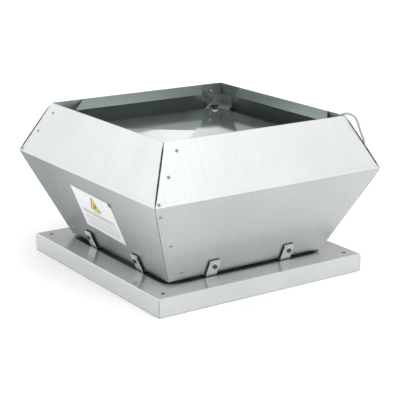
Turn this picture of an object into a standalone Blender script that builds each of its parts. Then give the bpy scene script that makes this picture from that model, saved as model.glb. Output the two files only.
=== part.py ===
"""Square roof exhaust fan that discharges upwards, in galvanised sheet steel.

A tray with a bell mouth stands on the roof curb. On eight brackets above it stands a housing of two
square frustums, wide at the waist. Inside, a plate keeps rain off, and an external-rotor motor hangs
under it and turns a backward-curved impeller. Metres, +Z up, origin on the ground at the centre.
Each side is modelled as the front one, which faces -Y, and turned about Z for the other three.
"""

from math import atan2, cos, log, pi, radians, sin, sqrt, tan

import bmesh
import bpy
from mathutils import Matrix, Vector

# Gap kept between pieces that touch.
GAP = 0.0003

# Tray that drops over the roof curb.
TRAY_SIDE = 0.500
TRAY_HEIGHT = 0.0378
TRAY_SHEET = 0.0015
TRAY_BEND = 0.002
TRAY_SLIT = 0.0009
CURB_HOLE_PITCH = 0.450
CURB_HOLE_RADIUS = 0.0045

# Housing: half widths and heights of its lower edge, its waist and its rim, to the outside of the sheet.
FOOT_HALF, FOOT_Z = 0.1913, 0.0435
WAIST_HALF, WAIST_Z = 0.2725, 0.2230
RIM_HALF, RIM_Z = 0.2198, 0.3303
SHEET = 0.0010
LOWER_SEAM = 0.0008
UPPER_SEAM = 0.0016
WAIST_FLANGE = 0.009
WAIST_FLANGE_INSET = 0.012
TAB_WIDTH = 0.049
TAB_SLANT = 0.3
LIP_HEIGHT = 0.023
LIP_SET_BACK = 0.0009
LIP_LEFT_END = 0.165
LIP_RIGHT_END = 0.143
LIP_SLANT = 0.85

# Brackets that hold the housing over the tray, two to a side.
BRACKET_OFFSET = 0.0925
BRACKET_WIDTH = 0.026
BRACKET_SHEET = 0.002
BRACKET_STAND_OFF = 0.0025
BRACKET_TOP = 0.036
BRACKET_FOOT_DEPTH = 0.034
BRACKET_BOLT_UP = 0.023
BRACKET_CHAMFER = 0.003

# M6 fasteners.
SHANK_RADIUS = 0.003
SHANK_HOLE_RADIUS = 0.0034
WASHER_RADIUS = 0.0065
WASHER_HEIGHT = 0.0012
HEX_RADIUS = 0.0057
HEAD_HEIGHT = 0.004
NUT_HEIGHT = 0.005

# Plate over the motor, folded along its diagonals so that its centre stands highest.
COVER_HALF = 0.196
COVER_EDGE_Z = 0.2785
COVER_RISE = 0.006
COVER_SHEET = 0.001
COVER_DRIP = 0.010
COVER_DRIP_HALF = 0.150
COVER_BOLT = 0.168

# Corner brackets that carry the plate and the motor.
CORNER_LOW_Z, CORNER_HIGH_Z = 0.262, 0.300
CORNER_SHEET = 0.002
CORNER_WALL_WIDTH = 0.043
SHELF_TOP_Z = 0.2770
DRILL_LOW_Z, DRILL_HIGH_Z = 0.260, 0.290
SHELF_HALF_WIDTH = 0.028
SHELF_INNER = 0.205
SLOT_SIZE = (0.042, 0.018)
SLOT_CENTRE = (0.297, 0.012)

# Cross that the motor hangs on, under the corner brackets' shelves.
ARM_WIDTH = 0.050
ARM_LENGTH = 0.252
ARM_FLANGE_START, ARM_FLANGE_END = 0.062, 0.215
ARM_FLANGE_DROP = 0.020
ARM_SHEET = 0.002

# Motor: a stator with a flange on top, and a rotor cup turning around it.
STATOR_FLANGE_RADIUS = 0.047
STATOR_FLANGE_HEIGHT = 0.005
STATOR_RADIUS = 0.0395
STATOR_BORE = 0.0055
BEARING_RADIUS, BEARING_WIDTH = 0.011, 0.007
SHAFT_RADIUS = 0.004
SHAFT_CLEARANCE = 0.00006
ROTOR_RADIUS, ROTOR_INNER = 0.046, 0.0402
ROTOR_LOW_Z, ROTOR_HIGH_Z = 0.180, 0.2655
ROTOR_FLOOR = 0.004
ROTOR_FLANGE_RADIUS = 0.058

# Impeller and the bell mouth that feeds it.
IMPELLER_RADIUS = 0.140
BACK_PLATE_Z = 0.2130
IMPELLER_SHEET = 0.0015
SHROUD_Z = 0.1240
SHROUD_NECK_RADIUS, SHROUD_NECK_Z = 0.0965, 0.098
BLADES = 7
BLADE_SHEET = 0.0015
BLADE_INNER_RADIUS, BLADE_OUTER_RADIUS = 0.0985, 0.1385
BLADE_ANGLE = radians(30)
THROAT_RADIUS, THROAT_Z = 0.092, 0.105
BELL_RADIUS, BELL_FLANGE_RADIUS = 0.126, 0.150
BELL_HOLE_RADIUS = 0.1275

# Blank plate on the left side, with one corner cut off.
LABEL_WIDTH, LABEL_HEIGHT = 0.152, 0.102
LABEL_UP = 0.106
LABEL_THICKNESS = 0.0005
LABEL_CUT = 0.009
LABEL_TILT = radians(-3)

# Motor cable: out of a tapered bush, along one arm, up and over the rim, down to a coil on the ground.
CABLE_RADIUS = 0.0025
CABLE_ASIDE = 0.012
CABLE_Z = 0.2680
BUSH_LENGTH = 0.025
BUSH_RADIUS = 0.0042
CLIP_ALONG, CLIP_UP = -0.052, 0.0190
COIL_CENTRE = (0.3095, 0.090)
COIL_OUTER, COIL_INNER = 0.0355, 0.0205
COIL_HEIGHT = 0.0102
COIL_LOW_Z = 0.0010
LYING_Z = 0.0027
TAIL_END_Y = 0.142
CORE_RADIUS, CORE_OFFSET = 0.0009, 0.0012
CORE_LENGTH = 0.022
SHEATH_END = 0.008

# Slopes of the two halves of the housing, measured from the vertical.
LOWER_SLOPE = atan2(WAIST_HALF - FOOT_HALF, WAIST_Z - FOOT_Z)
UPPER_SLOPE = atan2(WAIST_HALF - RIM_HALF, RIM_Z - WAIST_Z)
FRONT, RIGHT, LEFT = 0, 1, 3
SIDE_NAMES = ("front", "right", "back", "left")
CORNER_NAMES = ("front_left", "front_right", "back_right", "back_left")
DIAGONAL = sqrt(0.5)


# Scene, materials and objects.


def clear_scene():
    for obj in list(bpy.data.objects):
        bpy.data.objects.remove(obj, do_unlink=True)


def new_collection(name):
    collection = bpy.data.collections.new(name)
    bpy.context.scene.collection.children.link(collection)
    return collection


def new_material(name, colour, roughness, metallic):
    material = bpy.data.materials.new(name)
    material.use_nodes = True
    shader = material.node_tree.nodes["Principled BSDF"]
    shader.inputs["Base Color"].default_value = (*colour, 1.0)
    shader.inputs["Roughness"].default_value = roughness
    shader.inputs["Metallic"].default_value = metallic
    return material


def place(name, mesh, material, matrix=None, parent=None):
    """Puts a mesh in the scene as one sub-part."""
    if not mesh.materials:
        mesh.materials.append(material)
    obj = bpy.data.objects.new(name, mesh)
    PARTS.objects.link(obj)
    obj.matrix_world = matrix or Matrix.Identity(4)
    if parent:
        obj.parent = parent
        obj.matrix_parent_inverse = parent.matrix_world.inverted()
    return obj


def turned_about_z(side):
    """The turn that takes the front side, or the front left corner, to another one."""
    return Matrix.Rotation(side * pi / 2, 4, "Z")


# Shapes.


def mesh_of(bm):
    bmesh.ops.recalc_face_normals(bm, faces=bm.faces)
    mesh = bpy.data.meshes.new("shape")
    bm.to_mesh(mesh)
    bm.free()
    return mesh


def box(low, high):
    bm = bmesh.new()
    bmesh.ops.create_cube(bm, size=1.0)
    size = Vector(high) - Vector(low)
    middle = (Vector(high) + Vector(low)) / 2
    fit = Matrix.Translation(middle) @ Matrix.Diagonal((*size, 1))
    bmesh.ops.transform(bm, matrix=fit, verts=bm.verts)
    return mesh_of(bm)


def cylinder(radius, low, high, sides=24, top_radius=None, turn=0.0):
    """A cylinder or cone around the Z axis, between two heights."""
    bm = bmesh.new()
    end = radius if top_radius is None else top_radius
    bmesh.ops.create_cone(bm, cap_ends=True, segments=sides, radius1=radius, radius2=end, depth=high - low)
    place_it = Matrix.Translation((0, 0, (low + high) / 2)) @ Matrix.Rotation(turn, 4, "Z")
    bmesh.ops.transform(bm, matrix=place_it, verts=bm.verts)
    return mesh_of(bm)


def block(planes):
    """The solid behind all the planes, each a point and an outward normal, cut out of a large cube."""
    bm = bmesh.new()
    bmesh.ops.create_cube(bm, size=2.0)
    for point, normal in planes:
        everything = bm.verts[:] + bm.edges[:] + bm.faces[:]
        cut = bmesh.ops.bisect_plane(bm, geom=everything, plane_co=point, plane_no=normal, clear_outer=True)
        rim = [item for item in cut["geom_cut"] if isinstance(item, bmesh.types.BMEdge)]
        bmesh.ops.contextual_create(bm, geom=rim)
    return mesh_of(bm)


def moved(mesh, matrix):
    mesh.transform(matrix)
    return mesh


def smoothed(mesh, angle=35):
    mesh.shade_smooth()
    mesh.set_sharp_from_angle(angle=radians(angle))
    return mesh


def evaluated(obj):
    """The mesh that an object's modifiers or curve give; the object itself is removed."""
    graph = bpy.context.evaluated_depsgraph_get()
    mesh = bpy.data.meshes.new_from_object(obj.evaluated_get(graph))
    bpy.data.objects.remove(obj, do_unlink=True)
    return mesh


def boolean(operation, mesh, tools):
    """Joins the tools to the mesh, one after another, or cuts them out of it."""
    obj = bpy.data.objects.new("shape", mesh)
    CUTTERS.objects.link(obj)
    helpers = []
    for tool in tools:
        helper = bpy.data.objects.new("tool", tool)
        helper.hide_render = True
        helper.display_type = "WIRE"
        CUTTERS.objects.link(helper)
        helpers.append(helper)
        modifier = obj.modifiers.new("cut", "BOOLEAN")
        modifier.operation = operation
        modifier.solver = "EXACT"
        modifier.object = helper
    result = evaluated(obj)
    for helper in helpers:
        bpy.data.objects.remove(helper, do_unlink=True)
    return result


def union(mesh, *others):
    return boolean("UNION", mesh, others)


def cut(mesh, *tools):
    return boolean("DIFFERENCE", mesh, tools)


def turned(profile, steps=48):
    """A closed profile of radius and height pairs, spun around the Z axis."""
    mesh = bpy.data.meshes.new("profile")
    count = len(profile)
    edges = [(i, (i + 1) % count) for i in range(count)]
    mesh.from_pydata([(radius, 0, height) for radius, height in profile], edges, [])
    obj = bpy.data.objects.new("turned", mesh)
    CUTTERS.objects.link(obj)
    screw = obj.modifiers.new("spin", "SCREW")
    screw.axis = "Z"
    screw.angle = 2 * pi
    screw.steps = steps
    screw.render_steps = steps
    screw.use_merge_vertices = True
    screw.merge_threshold = 0.00002
    bm = bmesh.new()
    bm.from_mesh(evaluated(obj))
    bmesh.ops.remove_doubles(bm, verts=bm.verts, dist=0.000005)
    return smoothed(mesh_of(bm))


def slab(outline, low, high):
    """A flat outline in X and Y, filled and given a thickness."""
    curve = bpy.data.curves.new("outline", "CURVE")
    curve.dimensions = "2D"
    curve.fill_mode = "BOTH"
    curve.extrude = (high - low) / 2
    spline = curve.splines.new("POLY")
    spline.points.add(len(outline) - 1)
    for point, (x, y) in zip(spline.points, outline):
        point.co = (x, y, 0, 1)
    spline.use_cyclic_u = True
    return from_curve(curve, Matrix.Translation((0, 0, (low + high) / 2)))


def tube(points, radius, sides=8):
    """A round tube with closed ends along a list of points."""
    curve = bpy.data.curves.new("tube", "CURVE")
    curve.dimensions = "3D"
    curve.bevel_depth = radius
    curve.bevel_resolution = sides // 2 - 2
    curve.use_fill_caps = True
    spline = curve.splines.new("POLY")
    spline.points.add(len(points) - 1)
    for point, place_of in zip(spline.points, points):
        point.co = (*place_of, 1)
    return smoothed(from_curve(curve, Matrix.Identity(4)))


def from_curve(curve, matrix):
    obj = bpy.data.objects.new("curve", curve)
    CUTTERS.objects.link(obj)
    bm = bmesh.new()
    bm.from_mesh(evaluated(obj))
    bmesh.ops.remove_doubles(bm, verts=bm.verts, dist=0.000005)
    bmesh.ops.transform(bm, matrix=matrix, verts=bm.verts)
    return mesh_of(bm)


# The planes of the housing's walls.


def lower_plane(side, depth=0.0):
    """A point and the outward normal of a lower wall's outer face, moved inwards by depth."""
    normal = Vector((0, -cos(LOWER_SLOPE), -sin(LOWER_SLOPE)))
    point = Vector((0, -FOOT_HALF, FOOT_Z)) - normal * depth
    turn = turned_about_z(side).to_3x3()
    return turn @ point, turn @ normal


def upper_plane(side, depth=0.0):
    normal = Vector((0, -cos(UPPER_SLOPE), sin(UPPER_SLOPE)))
    point = Vector((0, -WAIST_HALF, WAIST_Z)) - normal * depth
    turn = turned_about_z(side).to_3x3()
    return turn @ point, turn @ normal


def behind(plane):
    """The same plane facing the other way, so that a block lies on its outer side."""
    point, normal = plane
    return point, -normal


def under(height):
    return Vector((0, 0, height)), Vector((0, 0, 1))


def above(height):
    return Vector((0, 0, height)), Vector((0, 0, -1))


def mitres(seam):
    """The two upright planes at the front side's corners, half a seam away from each corner."""
    point = Vector((0, -seam * DIAGONAL, 0))
    return [(point, Vector((-DIAGONAL, DIAGONAL, 0))), (point, Vector((DIAGONAL, DIAGONAL, 0)))]


def lower_wall_point(along, up, out=0.0):
    """A place on the front lower wall: along it, up its slope from the lower edge, and out from it."""
    y = -FOOT_HALF - up * sin(LOWER_SLOPE) - out * cos(LOWER_SLOPE)
    z = FOOT_Z + up * cos(LOWER_SLOPE) - out * sin(LOWER_SLOPE)
    return Vector((along, y, z))


def lower_wall_matrix(along, up, out=0.0):
    """Axes on the front lower wall: X along it, Y up its slope, and Z straight out of it."""
    turn = Matrix.Rotation(pi / 2 + LOWER_SLOPE, 4, "X")
    return Matrix.Translation(lower_wall_point(along, up, out)) @ turn


# Tray and bell mouth.


def make_tray():
    half = TRAY_SIDE / 2
    bm = bmesh.new()
    bmesh.ops.create_cube(bm, size=1.0)
    size = Matrix.Diagonal((TRAY_SIDE, TRAY_SIDE, TRAY_HEIGHT, 1))
    fit = Matrix.Translation((0, 0, TRAY_HEIGHT / 2)) @ size
    bmesh.ops.transform(bm, matrix=fit, verts=bm.verts)
    bottom = [face for face in bm.faces if face.normal.z < -0.5]
    bmesh.ops.delete(bm, geom=bottom, context="FACES_ONLY")
    bends = [edge for edge in bm.edges if all(vert.co.z > TRAY_HEIGHT / 2 for vert in edge.verts)]
    bmesh.ops.bevel(bm, geom=bends, offset=TRAY_BEND, segments=3, profile=0.5, affect="EDGES")
    obj = bpy.data.objects.new("tray", mesh_of(bm))
    CUTTERS.objects.link(obj)
    shell = obj.modifiers.new("sheet", "SOLIDIFY")
    shell.thickness = TRAY_SHEET
    shell.offset = -1
    shell.use_even_offset = True
    holes = [cylinder(BELL_HOLE_RADIUS, TRAY_HEIGHT / 2, TRAY_HEIGHT * 2, 48)]
    for x in (-1, 1):
        for y in (-1, 1):
            centre = Matrix.Translation((x * CURB_HOLE_PITCH / 2, y * CURB_HOLE_PITCH / 2, 0))
            holes.append(moved(cylinder(CURB_HOLE_RADIUS, TRAY_HEIGHT / 2, TRAY_HEIGHT * 2), centre))
            slit_top = TRAY_HEIGHT - TRAY_BEND
            slit = box((-0.006, -TRAY_SLIT / 2, -0.01), (0.006, TRAY_SLIT / 2, slit_top))
            corner = Matrix.Translation((x * half, y * half, 0)) @ Matrix.Rotation(x * y * pi / 4, 4, "Z")
            holes.append(moved(slit, corner))
    tray = smoothed(cut(evaluated(obj), *holes), 25)
    place("base_tray", tray, GALVANISED)


def make_bell_mouth():
    """A flange on the tray that curves up and in to the throat under the impeller."""
    low = TRAY_HEIGHT + GAP
    turns = [radians(angle) for angle in range(0, 91, 15)]
    depth = THROAT_Z - 0.020 - low
    reach = BELL_RADIUS - THROAT_RADIUS
    inner = [(BELL_RADIUS - reach * sin(turn), low + depth * (1 - cos(turn))) for turn in turns]
    outer = [(radius + SHEET, height + SHEET * (1 - sin(turn)))
             for (radius, height), turn in zip(inner, turns)]
    profile = [(BELL_FLANGE_RADIUS, low + SHEET), (BELL_FLANGE_RADIUS, low)]
    profile += inner + [(THROAT_RADIUS, THROAT_Z), (THROAT_RADIUS + SHEET, THROAT_Z)]
    profile += list(reversed(outer))
    place("inlet_cone", turned(profile), GALVANISED)


# Housing.


def make_lower_panels():
    """A mitred wall, a flange up inside the upper panel, and a tab around the right-hand corner."""
    wall = block([lower_plane(FRONT), behind(lower_plane(FRONT, SHEET)), above(FOOT_Z),
                  under(WAIST_Z - GAP / 2), *mitres(LOWER_SEAM)])
    inner, outer = 2 * SHEET + GAP, SHEET + GAP
    flange_top = WAIST_Z + WAIST_FLANGE * cos(UPPER_SLOPE)
    flange = block([upper_plane(FRONT, outer), behind(upper_plane(FRONT, inner)), under(flange_top),
                    above(WAIST_Z - 2.2 * SHEET), lower_plane(FRONT, SHEET / 5), *mitres(WAIST_FLANGE_INSET)])
    slope = tan(LOWER_SLOPE)
    tab_edge = Vector((0, TAB_WIDTH - FOOT_HALF, FOOT_Z)), Vector((0, 1, slope)).normalized()
    tab_top = Vector((0, -WAIST_HALF, WAIST_Z - WAIST_FLANGE_INSET)), Vector((0, TAB_SLANT, 1)).normalized()
    tab_foot = Vector((0, -FOOT_HALF, FOOT_Z + 3 * SHEET)), Vector((0, TAB_SLANT, -1)).normalized()
    tab = block([lower_plane(RIGHT, outer), behind(lower_plane(RIGHT, inner)), lower_plane(FRONT, SHEET / 5),
                 tab_edge, tab_top, tab_foot])
    holes = []
    for along in (-BRACKET_OFFSET, BRACKET_OFFSET):
        hole = cylinder(SHANK_HOLE_RADIUS, -0.005, 0.005, 16)
        holes.append(moved(hole, lower_wall_matrix(along, BRACKET_BOLT_UP)))
    panel = cut(union(wall, flange, tab), *holes)
    for side in range(4):
        place(f"lower_panel_{SIDE_NAMES[side]}", panel, GALVANISED, turned_about_z(side))


def make_upper_panels():
    """A mitred wall with a lip turned down inside the rim, and a tab around the right-hand corner."""
    wall = block([upper_plane(FRONT), behind(upper_plane(FRONT, SHEET)), under(RIM_Z),
                  above(WAIST_Z + GAP / 2), *mitres(UPPER_SEAM)])
    lip_out = RIM_HALF - LIP_SET_BACK
    slant = (Vector((LIP_RIGHT_END, 0, RIM_Z)), Vector((1, 0, LIP_SLANT)).normalized())
    left_end = (Vector((-LIP_LEFT_END, 0, 0)), Vector((-1, 0, 0)))
    lip = block([(Vector((0, -lip_out, 0)), Vector((0, -1, 0))),
                 (Vector((0, SHEET - lip_out, 0)), Vector((0, 1, 0))),
                 under(RIM_Z), above(RIM_Z - LIP_HEIGHT), slant, left_end])
    fold = block([(Vector((0, -RIM_HALF + SHEET / 4, 0)), Vector((0, -1, 0))),
                  (Vector((0, SHEET - lip_out, 0)), Vector((0, 1, 0))),
                  under(RIM_Z), above(RIM_Z - SHEET), slant, left_end])
    inner, outer = 2 * SHEET + GAP, SHEET + GAP
    slope = tan(UPPER_SLOPE)
    tab_edge = Vector((0, TAB_WIDTH - WAIST_HALF, WAIST_Z)), Vector((0, 1, -slope)).normalized()
    tab_top = Vector((0, -RIM_HALF + 0.013, RIM_Z)), Vector((0, 0.55, 1)).normalized()
    tab_foot = above(WAIST_Z + WAIST_FLANGE + 0.001)
    tab = block([upper_plane(RIGHT, outer), behind(upper_plane(RIGHT, inner)), upper_plane(FRONT, SHEET / 5),
                 tab_edge, tab_top, tab_foot, under(RIM_Z - SHEET)])
    panel = union(wall, fold, lip, tab)
    for side in range(4):
        place(f"upper_panel_{SIDE_NAMES[side]}", panel, GALVANISED, turned_about_z(side))


# Brackets under the housing, and fasteners.


def make_hold_down_brackets():
    """An L of thicker sheet: a leg up the outside of the wall, and a foot on the tray under its edge."""
    outer_depth = -(BRACKET_STAND_OFF + BRACKET_SHEET)
    sides = [(Vector((BRACKET_WIDTH / 2, 0, 0)), Vector((1, 0, 0))),
             (Vector((-BRACKET_WIDTH / 2, 0, 0)), Vector((-1, 0, 0)))]
    foot_z = TRAY_HEIGHT + GAP
    slope_up = Vector((0, -sin(LOWER_SLOPE), cos(LOWER_SLOPE)))
    leg_top = lower_wall_point(0, BRACKET_TOP)
    chamfer_at = lower_wall_point(BRACKET_WIDTH / 2, BRACKET_TOP - BRACKET_CHAMFER)
    chamfer = (chamfer_at, (Vector((1, 0, 0)) + slope_up).normalized())
    mirrored = (Vector((-chamfer_at.x, *chamfer_at.yz)), (Vector((-1, 0, 0)) + slope_up).normalized())
    leg = block([lower_plane(FRONT, outer_depth), behind(lower_plane(FRONT, -BRACKET_STAND_OFF)),
                 above(foot_z), (leg_top, slope_up), chamfer, mirrored, *sides])
    foot = block([lower_plane(FRONT, outer_depth), above(foot_z), under(foot_z + BRACKET_SHEET), *sides,
                  (Vector((0, -FOOT_HALF + BRACKET_FOOT_DEPTH, 0)), Vector((0, 1, 0)))])
    hole = moved(cylinder(SHANK_HOLE_RADIUS, 0, 0.01, 16), lower_wall_matrix(0, BRACKET_BOLT_UP))
    bracket = cut(union(leg, foot), hole)
    bolt = hex_bolt(-SHEET, BRACKET_STAND_OFF + BRACKET_SHEET)
    number = 0
    for side in range(4):
        for along in (-BRACKET_OFFSET, BRACKET_OFFSET):
            number += 1
            turn = turned_about_z(side)
            aside = turn @ Matrix.Translation((along, 0, 0))
            place(f"hold_down_bracket_{number}", bracket, GALVANISED, aside)
            place(f"bracket_bolt_{number}", bolt, ZINC, turn @ lower_wall_matrix(along, BRACKET_BOLT_UP))


def hex_bolt(low, high):
    """A hexagon bolt with a washer and a nut, clamping what lies between two heights on its axis."""
    washer_low = high + GAP
    head_low = washer_low + WASHER_HEIGHT
    nut_high = low - GAP
    nut_low = nut_high - NUT_HEIGHT
    bite = 0.0001
    washer = cylinder(WASHER_RADIUS, washer_low, head_low, 20)
    head = cylinder(HEX_RADIUS, head_low - bite, head_low + HEAD_HEIGHT, 6)
    nut = cylinder(HEX_RADIUS, nut_low, nut_high, 6, turn=0.2)
    shank = cylinder(SHANK_RADIUS, nut_low - 0.0015, head_low, 12)
    return smoothed(union(shank, washer, head, nut))


# Plate over the motor, and what carries it.


def make_rain_cover():
    """A square sheet folded along its diagonals, with a drip edge turned down along each side."""
    bm = bmesh.new()
    bmesh.ops.create_cone(bm, cap_ends=False, segments=4, radius1=COVER_HALF / DIAGONAL, radius2=0,
                          depth=COVER_RISE)
    fit = Matrix.Translation((0, 0, COVER_EDGE_Z + COVER_RISE / 2)) @ Matrix.Rotation(pi / 4, 4, "Z")
    bmesh.ops.transform(bm, matrix=fit, verts=bm.verts)
    bmesh.ops.remove_doubles(bm, verts=bm.verts, dist=0.00001)
    obj = bpy.data.objects.new("cover", mesh_of(bm))
    CUTTERS.objects.link(obj)
    shell = obj.modifiers.new("sheet", "SOLIDIFY")
    shell.thickness = COVER_SHEET
    shell.offset = -1
    top = COVER_EDGE_Z - COVER_SHEET / 4
    drips = []
    for side in range(4):
        drip = box((-COVER_DRIP_HALF, -COVER_HALF + 0.0001, COVER_EDGE_Z - COVER_DRIP),
                   (COVER_DRIP_HALF, -COVER_HALF + 0.0001 + COVER_SHEET, top))
        drips.append(moved(drip, turned_about_z(side)))
    cover = union(evaluated(obj), *drips)
    place("rain_cover", cut(cover, *corner_holes()), GALVANISED)


def corner_holes():
    """Drills for the four bolts that clamp the cover, a shelf and the carrier at each corner."""
    holes = []
    for side in range(4):
        centre = turned_about_z(side) @ Matrix.Translation((-COVER_BOLT, -COVER_BOLT, 0))
        holes.append(moved(cylinder(SHANK_HOLE_RADIUS, DRILL_LOW_Z, DRILL_HIGH_Z, 16), centre))
    return holes


def make_corner_brackets():
    """Two walls against the housing's corner, joined by a shelf that runs in under the cover."""
    tab_layer = 2 * SHEET + 2 * GAP
    bare_layer = SHEET + GAP
    heights = [above(CORNER_LOW_Z), under(CORNER_HIGH_Z)]
    corner = (upper_plane(FRONT, tab_layer), upper_plane(LEFT, bare_layer))
    slope = tan(UPPER_SLOPE)
    front_edge = Vector((CORNER_WALL_WIDTH - WAIST_HALF, 0, WAIST_Z)), Vector((1, 0, -slope)).normalized()
    left_edge = Vector((0, CORNER_WALL_WIDTH - WAIST_HALF, WAIST_Z)), Vector((0, 1, -slope)).normalized()
    front_wall = block([*corner, behind(upper_plane(FRONT, tab_layer + CORNER_SHEET)), front_edge, *heights])
    left_wall = block([*corner, behind(upper_plane(LEFT, bare_layer + CORNER_SHEET)), left_edge, *heights])
    inwards = Vector((DIAGONAL, DIAGONAL, 0))
    across = Vector((DIAGONAL, -DIAGONAL, 0))
    shelf = block([upper_plane(FRONT, tab_layer + GAP), upper_plane(LEFT, bare_layer + GAP),
                   (-inwards * SHELF_INNER, inwards), (across * SHELF_HALF_WIDTH, across),
                   (-across * SHELF_HALF_WIDTH, -across), under(SHELF_TOP_Z),
                   above(SHELF_TOP_Z - CORNER_SHEET)])
    length, width = SLOT_SIZE
    slot = box((-length / 2, -width / 2, DRILL_LOW_Z), (length / 2, width / 2, DRILL_HIGH_Z))
    # The slot that lets the cable through lies on the same hand of each corner.
    slot_place = Matrix.Rotation(-3 * pi / 4, 4, "Z") @ Matrix.Translation((*SLOT_CENTRE, 0))
    bolt_hole = cylinder(SHANK_HOLE_RADIUS, DRILL_LOW_Z, DRILL_HIGH_Z, 16)
    bolt_place = Matrix.Translation((-COVER_BOLT, -COVER_BOLT, 0))
    bracket = union(front_wall, left_wall, shelf)
    bracket = cut(bracket, moved(bolt_hole, bolt_place), moved(slot, slot_place))
    from_edge = (COVER_HALF - COVER_BOLT) / COVER_HALF
    bolt_top = COVER_EDGE_Z + COVER_RISE * from_edge
    bolt = hex_bolt(carrier_top() - ARM_SHEET, bolt_top)
    for side in range(4):
        name = CORNER_NAMES[side]
        place(f"corner_bracket_{name}", bracket, GALVANISED, turned_about_z(side))
        place(f"cover_bolt_{name}", bolt, ZINC, turned_about_z(side) @ bolt_place)


def carrier_top():
    return SHELF_TOP_Z - CORNER_SHEET - GAP


def make_motor_carrier():
    """A flat cross to the four corners, each arm stiffened by flanges turned down along its edges."""
    top = carrier_top()
    low = top - ARM_SHEET
    half = ARM_WIDTH / 2
    corner = Vector((half, half))
    outline = []
    for quarter in range(4):
        turn = Matrix.Rotation(quarter * pi / 2, 2)
        ends = [Vector((ARM_LENGTH, -half)), Vector((ARM_LENGTH, half)), corner]
        outline += [turn @ end for end in ends]
    eighth = Matrix.Rotation(pi / 4, 2)
    pieces = [slab([eighth @ point for point in outline], low, top)]
    for quarter in range(4):
        for side in (-1, 1):
            y = side * (half - ARM_SHEET / 2 - ARM_SHEET / 20)
            flange = box((ARM_FLANGE_START, y - ARM_SHEET / 2, top - ARM_FLANGE_DROP),
                         (ARM_FLANGE_END, y + ARM_SHEET / 2, top - ARM_SHEET / 4))
            pieces.append(moved(flange, Matrix.Rotation(pi / 4 + quarter * pi / 2, 4, "Z")))
    carrier = cut(union(*pieces), *corner_holes())
    place("motor_carrier", carrier, GALVANISED)


# Motor and impeller.


def make_stator():
    """A flange under the carrier and a round core below it, bored for the shaft and its bearings."""
    top = carrier_top() - ARM_SHEET - GAP
    flange_low = top - STATOR_FLANGE_HEIGHT
    low = ROTOR_LOW_Z + ROTOR_FLOOR + 0.004
    seat = BEARING_RADIUS + GAP
    depth = BEARING_WIDTH + GAP
    profile = [(STATOR_FLANGE_RADIUS, top), (STATOR_FLANGE_RADIUS, flange_low), (STATOR_RADIUS, flange_low),
               (STATOR_RADIUS, low), (seat, low), (seat, low + depth), (STATOR_BORE, low + depth),
               (STATOR_BORE, top - depth), (seat, top - depth), (seat, top)]
    place("motor_stator", turned(profile), CAST_ALUMINIUM)
    bearing_bore = SHAFT_RADIUS + SHAFT_CLEARANCE
    steps = 32
    bore = bearing_bore / cos(pi / steps)
    for name, height in (("bearing_lower", low + GAP), ("bearing_upper", top - BEARING_WIDTH - GAP)):
        ring = [(BEARING_RADIUS, height + BEARING_WIDTH - 2 * GAP), (BEARING_RADIUS, height),
                (bore, height), (bore, height + BEARING_WIDTH - 2 * GAP)]
        place(name, turned(ring, steps), BEARING_STEEL)


def make_rotor(impeller):
    """A cup around the stator, with a flange on the impeller's back plate, and its shaft."""
    flange_low = BACK_PLATE_Z + IMPELLER_SHEET + GAP
    flange_high = flange_low + 0.003
    hub = SHAFT_RADIUS + GAP
    floor = ROTOR_LOW_Z + ROTOR_FLOOR
    profile = [(ROTOR_INNER, ROTOR_HIGH_Z), (ROTOR_RADIUS, ROTOR_HIGH_Z), (ROTOR_RADIUS, flange_high),
               (ROTOR_FLANGE_RADIUS, flange_high), (ROTOR_FLANGE_RADIUS, flange_low),
               (ROTOR_RADIUS, flange_low), (ROTOR_RADIUS, ROTOR_LOW_Z + 0.004),
               (ROTOR_RADIUS - 0.004, ROTOR_LOW_Z), (hub, ROTOR_LOW_Z), (hub, floor), (ROTOR_INNER, floor)]
    place("motor_rotor", turned(profile), CAST_ALUMINIUM, parent=impeller)
    shaft_top = carrier_top() - ARM_SHEET - 2 * GAP
    shaft = cylinder(SHAFT_RADIUS, ROTOR_LOW_Z - 0.002, shaft_top, 32)
    place("motor_shaft", smoothed(shaft), BEARING_STEEL, parent=impeller)


def make_impeller(impeller):
    plate_high = BACK_PLATE_Z + IMPELLER_SHEET
    hole = ROTOR_RADIUS + 2 * GAP
    back = [(IMPELLER_RADIUS, plate_high), (IMPELLER_RADIUS, BACK_PLATE_Z), (hole, BACK_PLATE_Z),
            (hole, plate_high)]
    place("impeller_back_plate", turned(back), ALUMINIUM, parent=impeller)
    bend = 0.014
    turns = [radians(angle) for angle in range(0, 91, 18)]
    neck = SHROUD_NECK_RADIUS
    inner = [(neck + bend * (1 - cos(turn)), SHROUD_Z - bend * (1 - sin(turn))) for turn in turns]
    outer = [(radius + SHEET * cos(turn), height - SHEET * sin(turn))
             for (radius, height), turn in zip(inner, turns)]
    profile = [(neck, SHROUD_NECK_Z), *inner, (IMPELLER_RADIUS, SHROUD_Z),
               (IMPELLER_RADIUS, SHROUD_Z - SHEET)]
    profile += list(reversed(outer)) + [(neck + SHEET, SHROUD_NECK_Z)]
    place("impeller_shroud", turned(profile), ALUMINIUM, parent=impeller)
    blade = slab(blade_outline(), SHROUD_Z + GAP, BACK_PLATE_Z - GAP)
    smoothed(blade, 40)
    for number in range(BLADES):
        turn = Matrix.Rotation(2 * pi * number / BLADES, 4, "Z")
        place(f"impeller_blade_{number + 1}", blade, ALUMINIUM, turn, impeller)


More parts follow.
